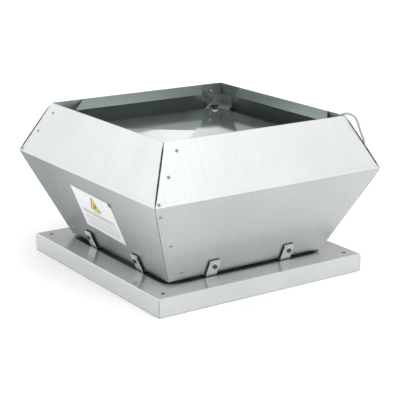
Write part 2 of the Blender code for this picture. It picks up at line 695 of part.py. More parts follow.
def blade_outline(points=7):
    """A strip that leans back at a constant angle to the radius, from the eye to the rim."""
    ratio = BLADE_OUTER_RADIUS / BLADE_INNER_RADIUS
    middle = []
    for step in range(points):
        radius = BLADE_INNER_RADIUS * ratio ** (step / (points - 1))
        angle = -log(radius / BLADE_INNER_RADIUS) / tan(BLADE_ANGLE)
        middle.append(Vector((radius * cos(angle), radius * sin(angle))))
    left, right = [], []
    for step, point in enumerate(middle):
        before = middle[max(step - 1, 0)]
        after = middle[min(step + 1, points - 1)]
        along = (after - before).normalized()
        aside = Vector((-along.y, along.x)) * BLADE_SHEET / 2
        left.append(point + aside)
        right.append(point - aside)
    return left + list(reversed(right))


# Label.


def make_label():
    half_width, half_height = LABEL_WIDTH / 2, LABEL_HEIGHT / 2
    outline = [(-half_width, -half_height), (half_width, -half_height),
               (half_width, half_height - LABEL_CUT), (half_width - LABEL_CUT, half_height),
               (-half_width, half_height)]
    label = slab(outline, GAP, GAP + LABEL_THICKNESS)
    on_wall = lower_wall_matrix(0, LABEL_UP) @ Matrix.Rotation(LABEL_TILT, 4, "Z")
    place("label_plate", label, WHITE_FILM, turned_about_z(LEFT) @ on_wall)


# Cable. The right-hand front corner lies along +X -Y; "out" is measured that way from the axis, and
# "aside" at a right angle to it, towards +X +Y.


def corner_point(out, aside, height):
    return Vector(((out + aside) * DIAGONAL, (aside - out) * DIAGONAL, height))


def right_wall_point(along, height, out=0.0):
    """A place beside the right upper wall, at a distance out from its face, along +Y."""
    x = WAIST_HALF - (height - WAIST_Z) * tan(UPPER_SLOPE) + out / cos(UPPER_SLOPE)
    return Vector((x, along, height))


def coil_lane():
    """The lane that the cable lies in beside the coil: its X, its height, and half its length there."""
    lane = COIL_CENTRE[0] - COIL_OUTER + CABLE_RADIUS
    reach = sqrt(COIL_OUTER ** 2 - (COIL_OUTER - 2 * CABLE_RADIUS) ** 2)
    return lane, CABLE_RADIUS + COIL_LOW_Z, reach


def cable_route():
    """The points that the cable is led through, from the bush to the coil."""
    start = STATOR_FLANGE_RADIUS + GAP + BUSH_LENGTH + GAP
    lying = CABLE_RADIUS + GAP
    lane, coiled, reach = coil_lane()
    return [
        corner_point(start, CABLE_ASIDE, CABLE_Z),
        corner_point(start + 0.020, CABLE_ASIDE, CABLE_Z),
        corner_point(0.160, CABLE_ASIDE, CABLE_Z - 0.002),
        corner_point(0.240, CABLE_ASIDE, CABLE_Z - 0.001),
        corner_point(0.267, CABLE_ASIDE, CABLE_Z - 0.0005),
        corner_point(0.2795, CABLE_ASIDE - 0.0005, 0.2703),
        corner_point(0.2877, CABLE_ASIDE - 0.0015, 0.2785),
        corner_point(0.2907, CABLE_ASIDE - 0.003, 0.2895),
        corner_point(0.2923, 0.005, 0.3060),
        corner_point(0.2955, 0.002, 0.3235),
        corner_point(0.3030, 0.0005, 0.3314),
        corner_point(0.3130, 0.0, 0.3346),
        corner_point(0.3230, 0.0, 0.3326),
        corner_point(0.3310, 0.0, 0.3266),
        corner_point(0.3362, 0.0, 0.3165),
        corner_point(0.3425, 0.0005, 0.2990),
        corner_point(0.3500, 0.0020, 0.2790),
        right_wall_point(-0.2340, 0.2620, lying + 0.0004),
        right_wall_point(-0.2060, 0.2520, lying + 0.0002),
        right_wall_point(-0.1650, 0.2465, lying),
        right_wall_point(-0.1100, 0.2440, lying),
        right_wall_point(CLIP_ALONG, WAIST_Z + CLIP_UP, lying),
        right_wall_point(-0.0200, 0.2380, lying + 0.0002),
        right_wall_point(0.0000, 0.2290, lying + 0.0008),
        Vector((WAIST_HALF + 0.0052, 0.0115, 0.2130)),
        Vector((WAIST_HALF + 0.0055, 0.0180, 0.1880)),
        Vector((WAIST_HALF + 0.0050, 0.0190, 0.1400)),
        Vector((WAIST_HALF + 0.0045, 0.0190, 0.0900)),
        Vector((lane, 0.0200, 0.0450)),
        Vector((lane, 0.0240, 0.0240)),
        Vector((lane, 0.0350, 0.0090)),
        Vector((lane, 0.0520, LYING_Z + 0.0006)),
        Vector((lane, COIL_CENTRE[1] - reach - GAP, coiled)),
    ]


def smooth_path(points, spacing):
    """Points at an even spacing on a smooth curve through the given points."""
    padded = [2 * points[0] - points[1], *points, 2 * points[-1] - points[-2]]
    fine = []
    for first, second, third, fourth in zip(padded, padded[1:], padded[2:], padded[3:]):
        fine += [centripetal(first, second, third, fourth, step / 16) for step in range(16)]
    fine.append(points[-1])
    lengths = [0.0]
    for before, after in zip(fine, fine[1:]):
        lengths.append(lengths[-1] + (after - before).length)
    count = round(lengths[-1] / spacing)
    path = []
    place_in = 0
    for number in range(count + 1):
        target = lengths[-1] * number / count
        while place_in < len(fine) - 2 and lengths[place_in + 1] < target:
            place_in += 1
        share = (target - lengths[place_in]) / (lengths[place_in + 1] - lengths[place_in])
        path.append(fine[place_in].lerp(fine[place_in + 1], share))
    return path


def centripetal(first, second, third, fourth, share):
    """A point on the centripetal Catmull-Rom curve between the second and third points."""
    knots = [0.0]
    for before, after in ((first, second), (second, third), (third, fourth)):
        knots.append(knots[-1] + sqrt((after - before).length))
    t = knots[1] + (knots[2] - knots[1]) * share
    a1 = first.lerp(second, (t - knots[0]) / (knots[1] - knots[0]))
    a2 = second.lerp(third, (t - knots[1]) / (knots[2] - knots[1]))
    a3 = third.lerp(fourth, (t - knots[2]) / (knots[3] - knots[2]))
    b1 = a1.lerp(a2, (t - knots[0]) / (knots[2] - knots[0]))
    b2 = a2.lerp(a3, (t - knots[1]) / (knots[3] - knots[1]))
    return b1.lerp(b2, (t - knots[1]) / (knots[2] - knots[1]))


def make_cable():
    aim = Matrix.Rotation(-pi / 4, 4, "Z") @ Matrix.Rotation(pi / 2, 4, "Y")
    bush_start = corner_point(STATOR_FLANGE_RADIUS + GAP, CABLE_ASIDE, CABLE_Z)
    bush = cylinder(BUSH_RADIUS, 0, BUSH_LENGTH, 16, top_radius=CABLE_RADIUS + 0.0005)
    place("cable_bush", smoothed(bush), RUBBER, Matrix.Translation(bush_start) @ aim)
    path = smooth_path(cable_route(), 5 * CABLE_RADIUS)
    place("motor_cable", tube(path, CABLE_RADIUS), GREY_PVC)
    top = COIL_LOW_Z + COIL_HEIGHT
    ring = [(COIL_OUTER, top), (COIL_OUTER, COIL_LOW_Z), (COIL_INNER, COIL_LOW_Z), (COIL_INNER, top)]
    place("cable_coil", turned(ring, 40), GREY_PVC, Matrix.Translation((*COIL_CENTRE, 0)))
    lane, coiled, reach = coil_lane()
    tail = [Vector((lane, COIL_CENTRE[1] + reach + GAP, coiled + 0.0035)),
            Vector((lane, TAIL_END_Y - 0.020, LYING_Z + 0.001)),
            Vector((lane, TAIL_END_Y - 0.010, LYING_Z)),
            Vector((lane, TAIL_END_Y, LYING_Z))]
    place("cable_tail", tube(smooth_path(tail, 3 * CABLE_RADIUS), CABLE_RADIUS), GREY_PVC)
    make_lead_end(Vector((lane, TAIL_END_Y + GAP, LYING_Z)))
    make_cable_clip(path)


def make_lead_end(start):
    """The end of the sheath, with three tinned cores."""
    sheath = cylinder(CABLE_RADIUS, 0, SHEATH_END, 12)
    cores = []
    for number in range(3):
        angle = pi / 2 + number * 2 * pi / 3
        away = Matrix.Translation((CORE_OFFSET * cos(angle), CORE_OFFSET * sin(angle), 0))
        cores.append(moved(cylinder(CORE_RADIUS, SHEATH_END - 0.002, SHEATH_END + CORE_LENGTH, 10), away))
    end = smoothed(union(sheath, *cores))
    place("cable_lead_end", end, TINNED, Matrix.Translation(start) @ Matrix.Rotation(-pi / 2, 4, "X"))


def make_cable_clip(path):
    """A saddle riveted to the right-hand wall, with the cable running through it."""
    outside = [point for point in path if point.x > RIM_HALF + 0.03 and point.z > WAIST_Z]
    middle = min(outside, key=lambda point: abs(point.y - CLIP_ALONG))
    index = path.index(middle)
    along = (path[index + 1] - path[index - 1]).normalized()
    normal = upper_plane(RIGHT)[1]
    across = along.cross(normal).normalized()
    normal = across.cross(along).normalized()
    axes = Matrix((along, across, normal)).transposed().to_4x4()
    lift = CABLE_RADIUS + GAP
    body = box((-0.004, -0.0085, -lift + GAP), (0.004, 0.0050, CABLE_RADIUS + 0.0016))
    bore = moved(cylinder(CABLE_RADIUS + GAP, -0.02, 0.02, 12), Matrix.Rotation(pi / 2, 4, "Y"))
    mouth = box((-0.02, -CABLE_RADIUS - GAP, -0.02), (0.02, CABLE_RADIUS + GAP, 0))
    place("cable_clip", cut(body, bore, mouth), NYLON, Matrix.Translation(middle) @ axes)


def make_fan():
    make_tray()
    make_bell_mouth()
    make_lower_panels()
    make_upper_panels()
    make_hold_down_brackets()
    make_rain_cover()
    make_corner_brackets()
    make_motor_carrier()
    make_stator()
    impeller = bpy.data.objects.new("impeller_axis", None)
    PARTS.objects.link(impeller)
    make_rotor(impeller)
    make_impeller(impeller)
    make_label()
    make_cable()


clear_scene()
PARTS = new_collection("roof_exhaust_fan")
CUTTERS = new_collection("cutters")
GALVANISED = new_material("galvanised_sheet", (0.62, 0.64, 0.64), 0.38, 1.0)
ZINC = new_material("zinc_fastener", (0.72, 0.72, 0.70), 0.28, 1.0)
CAST_ALUMINIUM = new_material("cast_aluminium", (0.30, 0.31, 0.32), 0.55, 1.0)
ALUMINIUM = new_material("aluminium_sheet", (0.70, 0.71, 0.72), 0.35, 1.0)
BEARING_STEEL = new_material("bearing_steel", (0.55, 0.55, 0.56), 0.25, 1.0)
WHITE_FILM = new_material("white_film", (0.88, 0.89, 0.89), 0.45, 0.0)
GREY_PVC = new_material("grey_pvc", (0.55, 0.56, 0.55), 0.5, 0.0)
RUBBER = new_material("black_rubber", (0.03, 0.03, 0.03), 0.7, 0.0)
NYLON = new_material("white_nylon", (0.75, 0.75, 0.72), 0.5, 0.0)
TINNED = new_material("tinned_ferrule", (0.60, 0.58, 0.55), 0.4, 1.0)
make_fan()
bpy.data.collections.remove(CUTTERS)
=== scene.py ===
"""Looks of the square roof exhaust fan: galvanised sheet, rivets, bolts, rubber pads, label and cable.

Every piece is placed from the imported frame. The housing's four sides repeat the front one, which
faces -Y, and each piece of a side is made there and turned about Z.
"""

from math import atan2, cos, log, pi, radians, sin, sqrt, tan

import bmesh
import bpy
from mathutils import Matrix, Vector


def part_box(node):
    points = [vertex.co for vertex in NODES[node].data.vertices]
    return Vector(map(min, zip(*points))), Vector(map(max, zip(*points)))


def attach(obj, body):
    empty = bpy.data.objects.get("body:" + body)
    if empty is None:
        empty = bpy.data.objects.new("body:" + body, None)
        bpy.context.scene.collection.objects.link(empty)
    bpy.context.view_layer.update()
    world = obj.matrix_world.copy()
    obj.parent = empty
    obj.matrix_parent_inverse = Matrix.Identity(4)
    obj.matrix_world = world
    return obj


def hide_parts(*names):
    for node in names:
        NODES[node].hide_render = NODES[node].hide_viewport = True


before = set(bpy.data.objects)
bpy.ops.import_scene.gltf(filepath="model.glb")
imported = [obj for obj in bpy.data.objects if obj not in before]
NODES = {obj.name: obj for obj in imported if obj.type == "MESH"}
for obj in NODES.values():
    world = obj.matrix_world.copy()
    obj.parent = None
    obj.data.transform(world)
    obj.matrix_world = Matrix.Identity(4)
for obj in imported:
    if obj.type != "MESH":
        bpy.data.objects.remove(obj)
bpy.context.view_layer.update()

SIDES = ("front", "right", "back", "left")
CORNERS = ("front_left", "front_right", "back_right", "back_left")
DIAGONAL = sqrt(0.5)
GAP = 0.0003


# What the frame says about the housing.


def half_at(node, height):
    """Half width of a front panel's outer face at a height."""
    near = [-v.co.y for v in NODES[node].data.vertices if abs(v.co.z - height) < 0.0004]
    return max(near)


LOWER_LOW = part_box("lower_panel_front")[0]
UPPER_LOW, UPPER_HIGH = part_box("upper_panel_front")
WAIST_HALF, WAIST_Z = -UPPER_LOW.y, UPPER_LOW.z
RIM_HALF, RIM_Z = half_at("upper_panel_front", UPPER_HIGH.z), UPPER_HIGH.z
FOOT_HALF, FOOT_Z = half_at("lower_panel_front", LOWER_LOW.z), LOWER_LOW.z
TRAY_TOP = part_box("base_tray")[1].z
SHEET = 0.0010
BRACKET_SHEET = 0.002
CARRIER_SHEET = 0.002
CARRIER_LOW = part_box("motor_carrier")[1].z - CARRIER_SHEET
LOWER_SLOPE = atan2(WAIST_HALF - FOOT_HALF, WAIST_Z - FOOT_Z)
UPPER_SLOPE = atan2(WAIST_HALF - RIM_HALF, RIM_Z - WAIST_Z)


# Camera.

AZIMUTH, ELEVATION, ROLL = radians(-34.47), radians(15.92), radians(0.354)
DISTANCE = 2.638
AIM_ASIDE, AIM_UP = 0.0118, 0.1285
LENS = 110.4


def make_camera():
    back = Vector((sin(AZIMUTH) * cos(ELEVATION), -cos(AZIMUTH) * cos(ELEVATION), sin(ELEVATION)))
    right = Vector((cos(AZIMUTH), sin(AZIMUTH), 0))
    up = back.cross(right)
    rolled_right = right * cos(ROLL) + up * sin(ROLL)
    rolled_up = up * cos(ROLL) - right * sin(ROLL)
    place_of = back * DISTANCE + rolled_right * AIM_ASIDE + rolled_up * AIM_UP
    data = bpy.data.cameras.new("camera")
    data.lens = LENS
    data.sensor_width = 36.0
    camera = bpy.data.objects.new("camera", data)
    turn = Matrix((rolled_right, rolled_up, back)).transposed().to_4x4()
    camera.matrix_world = Matrix.Translation(place_of) @ turn
    bpy.context.scene.collection.objects.link(camera)
    bpy.context.scene.camera = camera


make_camera()


# Materials.


def material(name, colour, roughness, metallic=0.0):
    """A material with its shader set, ready for nodes to be added."""
    made = bpy.data.materials.new(name)
    made.use_nodes = True
    shader = made.node_tree.nodes["Principled BSDF"]
    shader.inputs["Base Color"].default_value = (*colour, 1.0)
    shader.inputs["Roughness"].default_value = roughness
    shader.inputs["Metallic"].default_value = metallic
    return made


def node(made, kind, **values):
    """A node whose settings and sockets are given by name."""
    new = made.node_tree.nodes.new(kind)
    for name, value in values.items():
        socket = new.inputs.get(name.replace("_", " "))
        if socket is not None:
            socket.default_value = value
        else:
            setattr(new, name, value)
    return new


def link(made, source, target):
    made.node_tree.links.new(source, target)


def shader_of(made):
    return made.node_tree.nodes["Principled BSDF"]


def coordinates(made, scale):
    """Object coordinates, stretched by a scale for each axis."""
    place_of = node(made, "ShaderNodeTexCoord")
    mapping = node(made, "ShaderNodeMapping", Scale=scale)
    link(made, place_of.outputs["Object"], mapping.inputs["Vector"])
    return mapping.outputs["Vector"]


def noise(made, scale, detail=3.0, roughness=0.5):
    texture = node(made, "ShaderNodeTexNoise", Scale=1.0, Detail=detail, Roughness=roughness)
    link(made, coordinates(made, scale), texture.inputs["Vector"])
    return texture.outputs["Fac"]


def spread(made, value, low, high, start=0.3, end=0.7):
    """Maps a texture's middle range onto low to high."""
    ranged = node(made, "ShaderNodeMapRange", From_Min=start, From_Max=end, To_Min=low, To_Max=high)
    link(made, value, ranged.inputs["Value"])
    return ranged.outputs["Result"]


def maths(made, operation, first, second):
    combined = node(made, "ShaderNodeMath", operation=operation)
    for socket, value in zip(combined.inputs, (first, second)):
        if isinstance(value, float):
            socket.default_value = value
        else:
            link(made, value, socket)
    return combined.outputs["Value"]


def weighted(made, *terms):
    """The sum of values, each given with its weight."""
    total = 0.0
    for value, weight in terms:
        total = maths(made, "ADD", maths(made, "MULTIPLY", value, weight), total)
    return total


def tinted(made, share, dark, light):
    """A colour between two, by a share from 0 to 1."""
    mix = node(made, "ShaderNodeMix", data_type="RGBA")
    link(made, share, mix.inputs["Factor"])
    colour_input(mix, 0).default_value = (*dark, 1.0)
    colour_input(mix, 1).default_value = (*light, 1.0)
    return colour_socket(mix)


def colour_input(mix, number):
    return [socket for socket in mix.inputs if socket.type == "RGBA"][number]


def colour_socket(mix):
    return [socket for socket in mix.outputs if socket.type == "RGBA"][0]


def galvanised(name, grain, roughness=0.34, shade=1.0, fold_z=None, inside=None, relief=1.0, metal=0.88):
    """Zinc-coated sheet: a faint spangle, rolling marks along one way, and cloudy patches, with painted shade
    along the fold line and on the inner faces when these are given.
    """
    made = material(name, (0.66, 0.68, 0.67), roughness, metal)
    spangle = node(made, "ShaderNodeTexVoronoi", Scale=1.0)
    link(made, coordinates(made, (240, 240, 240)), spangle.inputs["Vector"])
    cells = spread(made, spangle.outputs["Color"], 0.0, 1.0, 0.2, 0.8)
    clouds = spread(made, noise(made, (7, 7, 7), 4.0, 0.55), 0.0, 1.0)
    marks = spread(made, noise(made, grain, 4.0, 0.6), 0.0, 1.0, 0.35, 0.65)
    speckle = spread(made, noise(made, (900, 900, 900), 2.0), 0.0, 1.0)
    mixed = weighted(made, (cells, 0.16), (clouds, 0.46), (marks, 0.28), (speckle, 0.10))
    dark = [channel * shade for channel in (0.600, 0.630, 0.621)]
    light = [channel * shade for channel in (0.700, 0.720, 0.713)]
    height = weighted(made, (speckle, 0.12), (marks, 0.12))
    # Painted shade: along the fold line the sheet's colour is darkened, as well as sunk by the bump.
    if fold_z is not None:
        line = fold_line(made, fold_z)
        mixed = weighted(made, (mixed, 1.0), (line, -0.8))
        height = weighted(made, (height, 1.0), (line, -3.0))
    tone = tinted(made, mixed, dark, light)
    # Painted shade: the inner faces are darkened by the factor inside and tinted green, for the shade inside
    # the housing.
    if inside is not None:
        inner = inward(made)
        inner_painted_shade = [inside * channel for channel in (0.90, 1.02, 0.98)]
        tone = multiplied(made, inner, tone, inner_painted_shade)
        link(made, spread(made, inner, metal, INNER_METAL, 0.0, 1.0), shader_of(made).inputs["Metallic"])
    link(made, tone, shader_of(made).inputs["Base Color"])
    gloss = spread(made, mixed, roughness * 1.1, roughness * 0.9, 0.2, 0.8)
    link(made, gloss, shader_of(made).inputs["Roughness"])
    bump(made, height, 0.12 * relief, 0.00012)
    return made


def tray_sheet(name):
    """Tray sheet with painted shadow and reflection, dark on top to just past the foot of the walls, and a
    dark band at the foot of its skirt, which is its cut edge and painted shade where it meets the floor.
    """
    made = galvanised(name, (5, 260, 5), 0.18, 0.90, relief=0.3, metal=0.56)
    base = shader_of(made).inputs["Base Color"]
    axes = place_axes(made)
    # Painted shadow and reflection: the top is darkened under the housing and out to just past the foot of
    # the walls.
    upward = spread(made, facing_axes(made)["Z"], 0.0, 1.0, 0.4, 0.6)
    across = [maths(made, "POWER", maths(made, "ABSOLUTE", axes[axis], 0.0), ROUND_SQUARE) for axis in "XY"]
    outside = maths(made, "POWER", maths(made, "ADD", *across), 1 / ROUND_SQUARE)
    under = spread(made, outside, 1.0, 0.0, FOOT_HALF + 0.005, FOOT_HALF + 0.007)
    under = maths(made, "MULTIPLY", under, upward)
    # Painted shade: a dark band along the foot of the skirt, for its cut edge and for the shade where it
    # meets the floor.
    cut_edge_and_foot_shade = spread(made, axes["Z"], 1.0, 0.0, FOOT_BAND_HEIGHT * 0.6, FOOT_BAND_HEIGHT)
    tone = multiplied(made, under, base.links[0].from_socket, (0.10, 0.13, 0.12))
    link(made, multiplied(made, cut_edge_and_foot_shade, tone, (0.3, 0.32, 0.31)), base)
    return made


def side_sheet(name):
    """Lower sheet of the left and right sides, with painted shade: darkened towards the back to come near the
    photo's tones.
    """
    made = galvanised(name, ALONG_Y, 0.3, 0.80, None, 0.7, relief=0.3)
    base = shader_of(made).inputs["Base Color"]
    uneven = maths(made, "MULTIPLY", noise(made, (6, 6, 6), 3.0), 0.12)
    along = maths(made, "ADD", place_axes(made)["Y"], uneven)
    # Painted shade: the sheet darkens unevenly towards the back.
    painted_shade_to_back = spread(made, along, 0.0, 1.0, -0.20, 0.24)
    link(made, multiplied(made, painted_shade_to_back, base.links[0].from_socket, (0.30, 0.35, 0.34)), base)
    return made


def split(made, vector):
    """The X, Y and Z of a vector, by name."""
    axes = node(made, "ShaderNodeSeparateXYZ")
    link(made, vector, axes.inputs["Vector"])
    return axes.outputs


def place_axes(made):
    return split(made, node(made, "ShaderNodeTexCoord").outputs["Object"])


def facing_axes(made):
    return split(made, node(made, "ShaderNodeNewGeometry").outputs["True Normal"])


def inward(made):
    """1 on the faces that look towards the Z axis, which are the inner ones, and 0 on the others."""
    place_of, facing = place_axes(made), facing_axes(made)
    parts = [maths(made, "MULTIPLY", place_of[axis], facing[axis]) for axis in "XY"]
    return spread(made, maths(made, "ADD", *parts), 1.0, 0.0, -0.02, 0.0)


def multiplied(made, share, tone, factor):
    """A colour multiplied by a fixed one, by a share from 0 to 1."""
    mix = node(made, "ShaderNodeMix", data_type="RGBA", blend_type="MULTIPLY")
    link(made, share, mix.inputs["Factor"])
    link(made, tone, colour_input(mix, 0))
    colour_input(mix, 1).default_value = (*factor, 1.0)
    return colour_socket(mix)


def fold_line(made, fold_z):
    """1 along a thin level line where the sheet is folded over the flange behind it."""
    height = place_axes(made)["Z"]
    away = maths(made, "ABSOLUTE", maths(made, "SUBTRACT", height, fold_z), 0.0)
    return spread(made, away, 1.0, 0.0, 0.0, FOLD_LINE)


def bump(made, height, strength, distance):
    bumped = node(made, "ShaderNodeBump", Strength=strength, Distance=distance)
    link(made, height, bumped.inputs["Height"])
    link(made, bumped.outputs["Normal"], shader_of(made).inputs["Normal"])


def mottled(name, dark, light, roughness, metallic=0.0, scale=(60, 60, 60), depth=0.1, spread_by=0.06):
    """A finish that wavers between two tones, with a matching roughness and a fine bump."""
    made = material(name, light, roughness, metallic)
    patches = spread(made, noise(made, scale, 5.0, 0.6), 0.0, 1.0)
    grains = noise(made, tuple(18 * size for size in scale), 2.0)
    link(made, tinted(made, patches, dark, light), shader_of(made).inputs["Base Color"])
    gloss = spread(made, patches, roughness + spread_by, roughness - spread_by, 0.0, 1.0)
    link(made, gloss, shader_of(made).inputs["Roughness"])
    bump(made, grains, depth, 0.0002)
    return made


def spun(name, dark, light, roughness):
    """Sheet metal spun on a lathe: fine rings around the Z axis."""
    made = material(name, light, roughness, 1.0)
    axes = place_axes(made)
    squares = maths(made, "ADD", *[maths(made, "POWER", axes[axis], 2.0) for axis in "XY"])
    radius = maths(made, "SQRT", squares, 0.0)
    rings = node(made, "ShaderNodeCombineXYZ")
    link(made, maths(made, "MULTIPLY", radius, RINGS), rings.inputs["X"])
    link(made, maths(made, "MULTIPLY", axes["Z"], RINGS), rings.inputs["Y"])
    texture = node(made, "ShaderNodeTexNoise", Scale=1.0, Detail=3.0)
    link(made, rings.outputs["Vector"], texture.inputs["Vector"])
    clouds = spread(made, noise(made, (20, 20, 20), 4.0), 0.0, 1.0)
    lines = spread(made, texture.outputs["Fac"], 0.0, 1.0)
    mixed = weighted(made, (clouds, 0.4), (lines, 0.6))
    link(made, tinted(made, mixed, dark, light), shader_of(made).inputs["Base Color"])
    link(made, spread(made, lines, roughness - 0.06, roughness + 0.06, 0.0, 1.0),
         shader_of(made).inputs["Roughness"])
    bump(made, texture.outputs["Fac"], 0.15, 0.0001)
    return made


def bracket_steel(name, across):
    """Bracket steel whose cut side edges, which face along one axis, are near black: painted shade for the
    gap beside the bracket's leg, as well as the edge's own colour.
    """
    made = galvanised(name, (40, 40, 40), 0.3)
    base = shader_of(made).inputs["Base Color"]
    # Painted shade: the side edges are made near black.
    edge = spread(made, maths(made, "ABSOLUTE", facing_axes(made)[across], 0.0), 0.0, 1.0, 0.85, 0.95)
    mix = node(made, "ShaderNodeMix", data_type="RGBA")
    link(made, edge, mix.inputs["Factor"])
    link(made, base.links[0].from_socket, colour_input(mix, 0))
    colour_input(mix, 1).default_value = (0.035, 0.04, 0.04, 1.0)
    link(made, colour_socket(mix), base)
    return made


INNER_METAL = 0.7
ROUND_SQUARE = 14.0
FOLD_LINE = 0.0006
FOOT_BAND_HEIGHT = 0.0011
RINGS = 700.0
FOLD_Z = WAIST_Z + 0.0087 * cos(UPPER_SLOPE)
ALONG_X = (330, 5, 5)
ALONG_Y = (5, 330, 5)
# Painted shade: the last number for the upper and lower sheets darkens their inner faces, and the lower
# sheets' 0.80 darkens them all over, for the shaded floor they mirror.
UPPER_ON_X = galvanised("upper_sheet_front_back", ALONG_X, 0.34, 0.99, FOLD_Z, 0.66)
UPPER_ON_Y = galvanised("upper_sheet_left_right", ALONG_Y, 0.34, 0.99, FOLD_Z, 0.66)
LOWER_ON_X = galvanised("lower_sheet_front_back", ALONG_X, 0.34, 0.80, None, 0.7)
LOWER_ON_Y = side_sheet("lower_sheet_left_right")
TRAY_SHEET = tray_sheet("tray_sheet")
COVER_SHEET = galvanised("cover_sheet", (10, 10, 10), 0.08, 0.95, relief=0.06, metal=0.94)
INNER_SHEET = galvanised("inner_sheet", (200, 12, 12), 0.34, 0.8, metal=0.7)
# Painted shade: a near black finish for the beads that stand for the shade in open joints.
JOINT_SHADE = mottled("joint_gap_shade", (0.012, 0.015, 0.014), (0.03, 0.034, 0.032), 0.6, 0.0, (300, 300, 300),
                  0.4)
BRACKET_ON_X = bracket_steel("bracket_steel_front_back", "X")
BRACKET_ON_Y = bracket_steel("bracket_steel_left_right", "Y")
BELL_SHEET = spun("spun_bell", (0.5, 0.53, 0.52), (0.68, 0.7, 0.69), 0.32)
SPUN_ALUMINIUM = spun("spun_aluminium", (0.62, 0.63, 0.64), (0.8, 0.81, 0.82), 0.28)
BLADE_ALUMINIUM = mottled("blade_aluminium", (0.62, 0.63, 0.64), (0.8, 0.81, 0.82), 0.33, 1.0)
CASTING = mottled("cast_aluminium", (0.1, 0.105, 0.11), (0.17, 0.175, 0.18), 0.5, 0.6, (90, 90, 90), 0.5)
GROUND_STEEL = mottled("ground_steel", (0.5, 0.5, 0.5), (0.66, 0.66, 0.66), 0.22, 1.0, (200, 200, 30))
ZINC = mottled("zinc_plate", (0.76, 0.77, 0.75), (0.88, 0.89, 0.87), 0.24, 0.5, (300, 300, 300))
BOLT_STEEL = mottled("bolt_steel", (0.05, 0.055, 0.052), (0.14, 0.145, 0.14), 0.26, 1.0, (300, 300, 300))
RIVET_STEEL = mottled("rivet_steel", (0.3, 0.31, 0.3), (0.5, 0.51, 0.5), 0.3, 1.0, (400, 400, 400))
# Painted shade as well as dark steel: the finish of each rivet's mandrel end and hole.
MANDREL_AND_HOLE_SHADE = mottled("mandrel_and_hole_shade", (0.012, 0.012, 0.012), (0.05, 0.05, 0.05), 0.6, 0.4, (500, 500, 500))
RUBBER = mottled("black_rubber", (0.008, 0.009, 0.009), (0.02, 0.021, 0.021), 0.75, 0.0, (180, 180, 180), 0.5)
PVC = mottled("grey_pvc", (0.36, 0.37, 0.365), (0.43, 0.44, 0.435), 0.48, 0.0, (70, 70, 70), 0.15)
NYLON = mottled("white_nylon", (0.66, 0.66, 0.63), (0.76, 0.76, 0.73), 0.42, 0.0, (90, 90, 90), 0.2)
BLACK_NYLON = mottled("black_nylon", (0.012, 0.012, 0.013), (0.03, 0.03, 0.032), 0.4, 0.0, (90, 90, 90), 0.2)
FILM = mottled("label_film", (0.8, 0.815, 0.81), (0.88, 0.89, 0.885), 0.36, 0.0, (35, 35, 35), 0.06)
AMBER = mottled("amber_print", (0.72, 0.5, 0.02), (0.85, 0.62, 0.04), 0.4, 0.0, (150, 150, 150), 0.05)
GREY_PRINT = mottled("grey_print", (0.05, 0.055, 0.055), (0.3, 0.31, 0.31), 0.45, 0.0, (500, 500, 500), 0.05)
DARK_PRINT = mottled("dark_print", (0.02, 0.02, 0.02), (0.05, 0.05, 0.048), 0.45, 0.0, (150, 150, 150), 0.05)
BROWN_CORE = mottled("brown_core", (0.1, 0.04, 0.02), (0.16, 0.06, 0.03), 0.45, 0.0, (200, 200, 200))
BLUE_CORE = mottled("blue_core", (0.01, 0.06, 0.25), (0.02, 0.1, 0.36), 0.45, 0.0, (200, 200, 200))
GREEN_CORE = mottled("green_yellow_core", (0.12, 0.3, 0.03), (0.6, 0.55, 0.04), 0.45, 0.0, (40, 200, 200))
TINNED = mottled("tinned_copper", (0.55, 0.5, 0.42), (0.75, 0.71, 0.64), 0.3, 1.0, (400, 400, 400))


# Shapes.


def smoothed(mesh, angle=32):
    mesh.shade_smooth()
    mesh.set_sharp_from_angle(angle=radians(angle))
    return mesh


def mesh_of(bm, angle=32):
    bmesh.ops.recalc_face_normals(bm, faces=bm.faces)
    mesh = bpy.data.meshes.new("shape")
    bm.to_mesh(mesh)
    bm.free()
    return smoothed(mesh, angle)


def rounded(points, radius, steps=3):
    """A closed outline with each of its corners rounded."""
    result = []
    for number, point in enumerate(points):
        here = Vector(point)
        before = Vector(points[number - 1]) - here
        after = Vector(points[(number + 1) % len(points)]) - here
        reach = min(radius, before.length * 0.45, after.length * 0.45)
        start = here + before.normalized() * reach
        end = here + after.normalized() * reach
        for step in range(steps + 1):
            share = step / steps
            result.append(start.lerp(here, share).lerp(here.lerp(end, share), share))
    return result


def lathe(profile, steps=96, closed=True, angle=32):
    """A profile of radius and height pairs, spun around the Z axis."""
    bm = bmesh.new()
    verts = [bm.verts.new((radius, 0, height)) for radius, height in profile]
    pairs = list(zip(verts, verts[1:])) + ([(verts[-1], verts[0])] if closed else [])
    edges = [bm.edges.new(pair) for pair in pairs]
    bmesh.ops.spin(bm, geom=verts + edges, cent=(0, 0, 0), axis=(0, 0, 1), angle=2 * pi, steps=steps,
                   use_merge=True)
    bmesh.ops.remove_doubles(bm, verts=bm.verts, dist=1e-6)
    bmesh.ops.dissolve_degenerate(bm, edges=bm.edges, dist=1e-7)
    return mesh_of(bm, angle)


def rod(radius, low, high, soften, steps):
    """A round bar along Z with softened ends."""
    profile = [(0.0, low), (radius, low), (radius, high), (0.0, high)]
    return lathe(rounded(profile, soften), steps, closed=False)


def rectangle(half, low, high):
    return [(-half, low), (half, low), (half, high), (-half, high)]


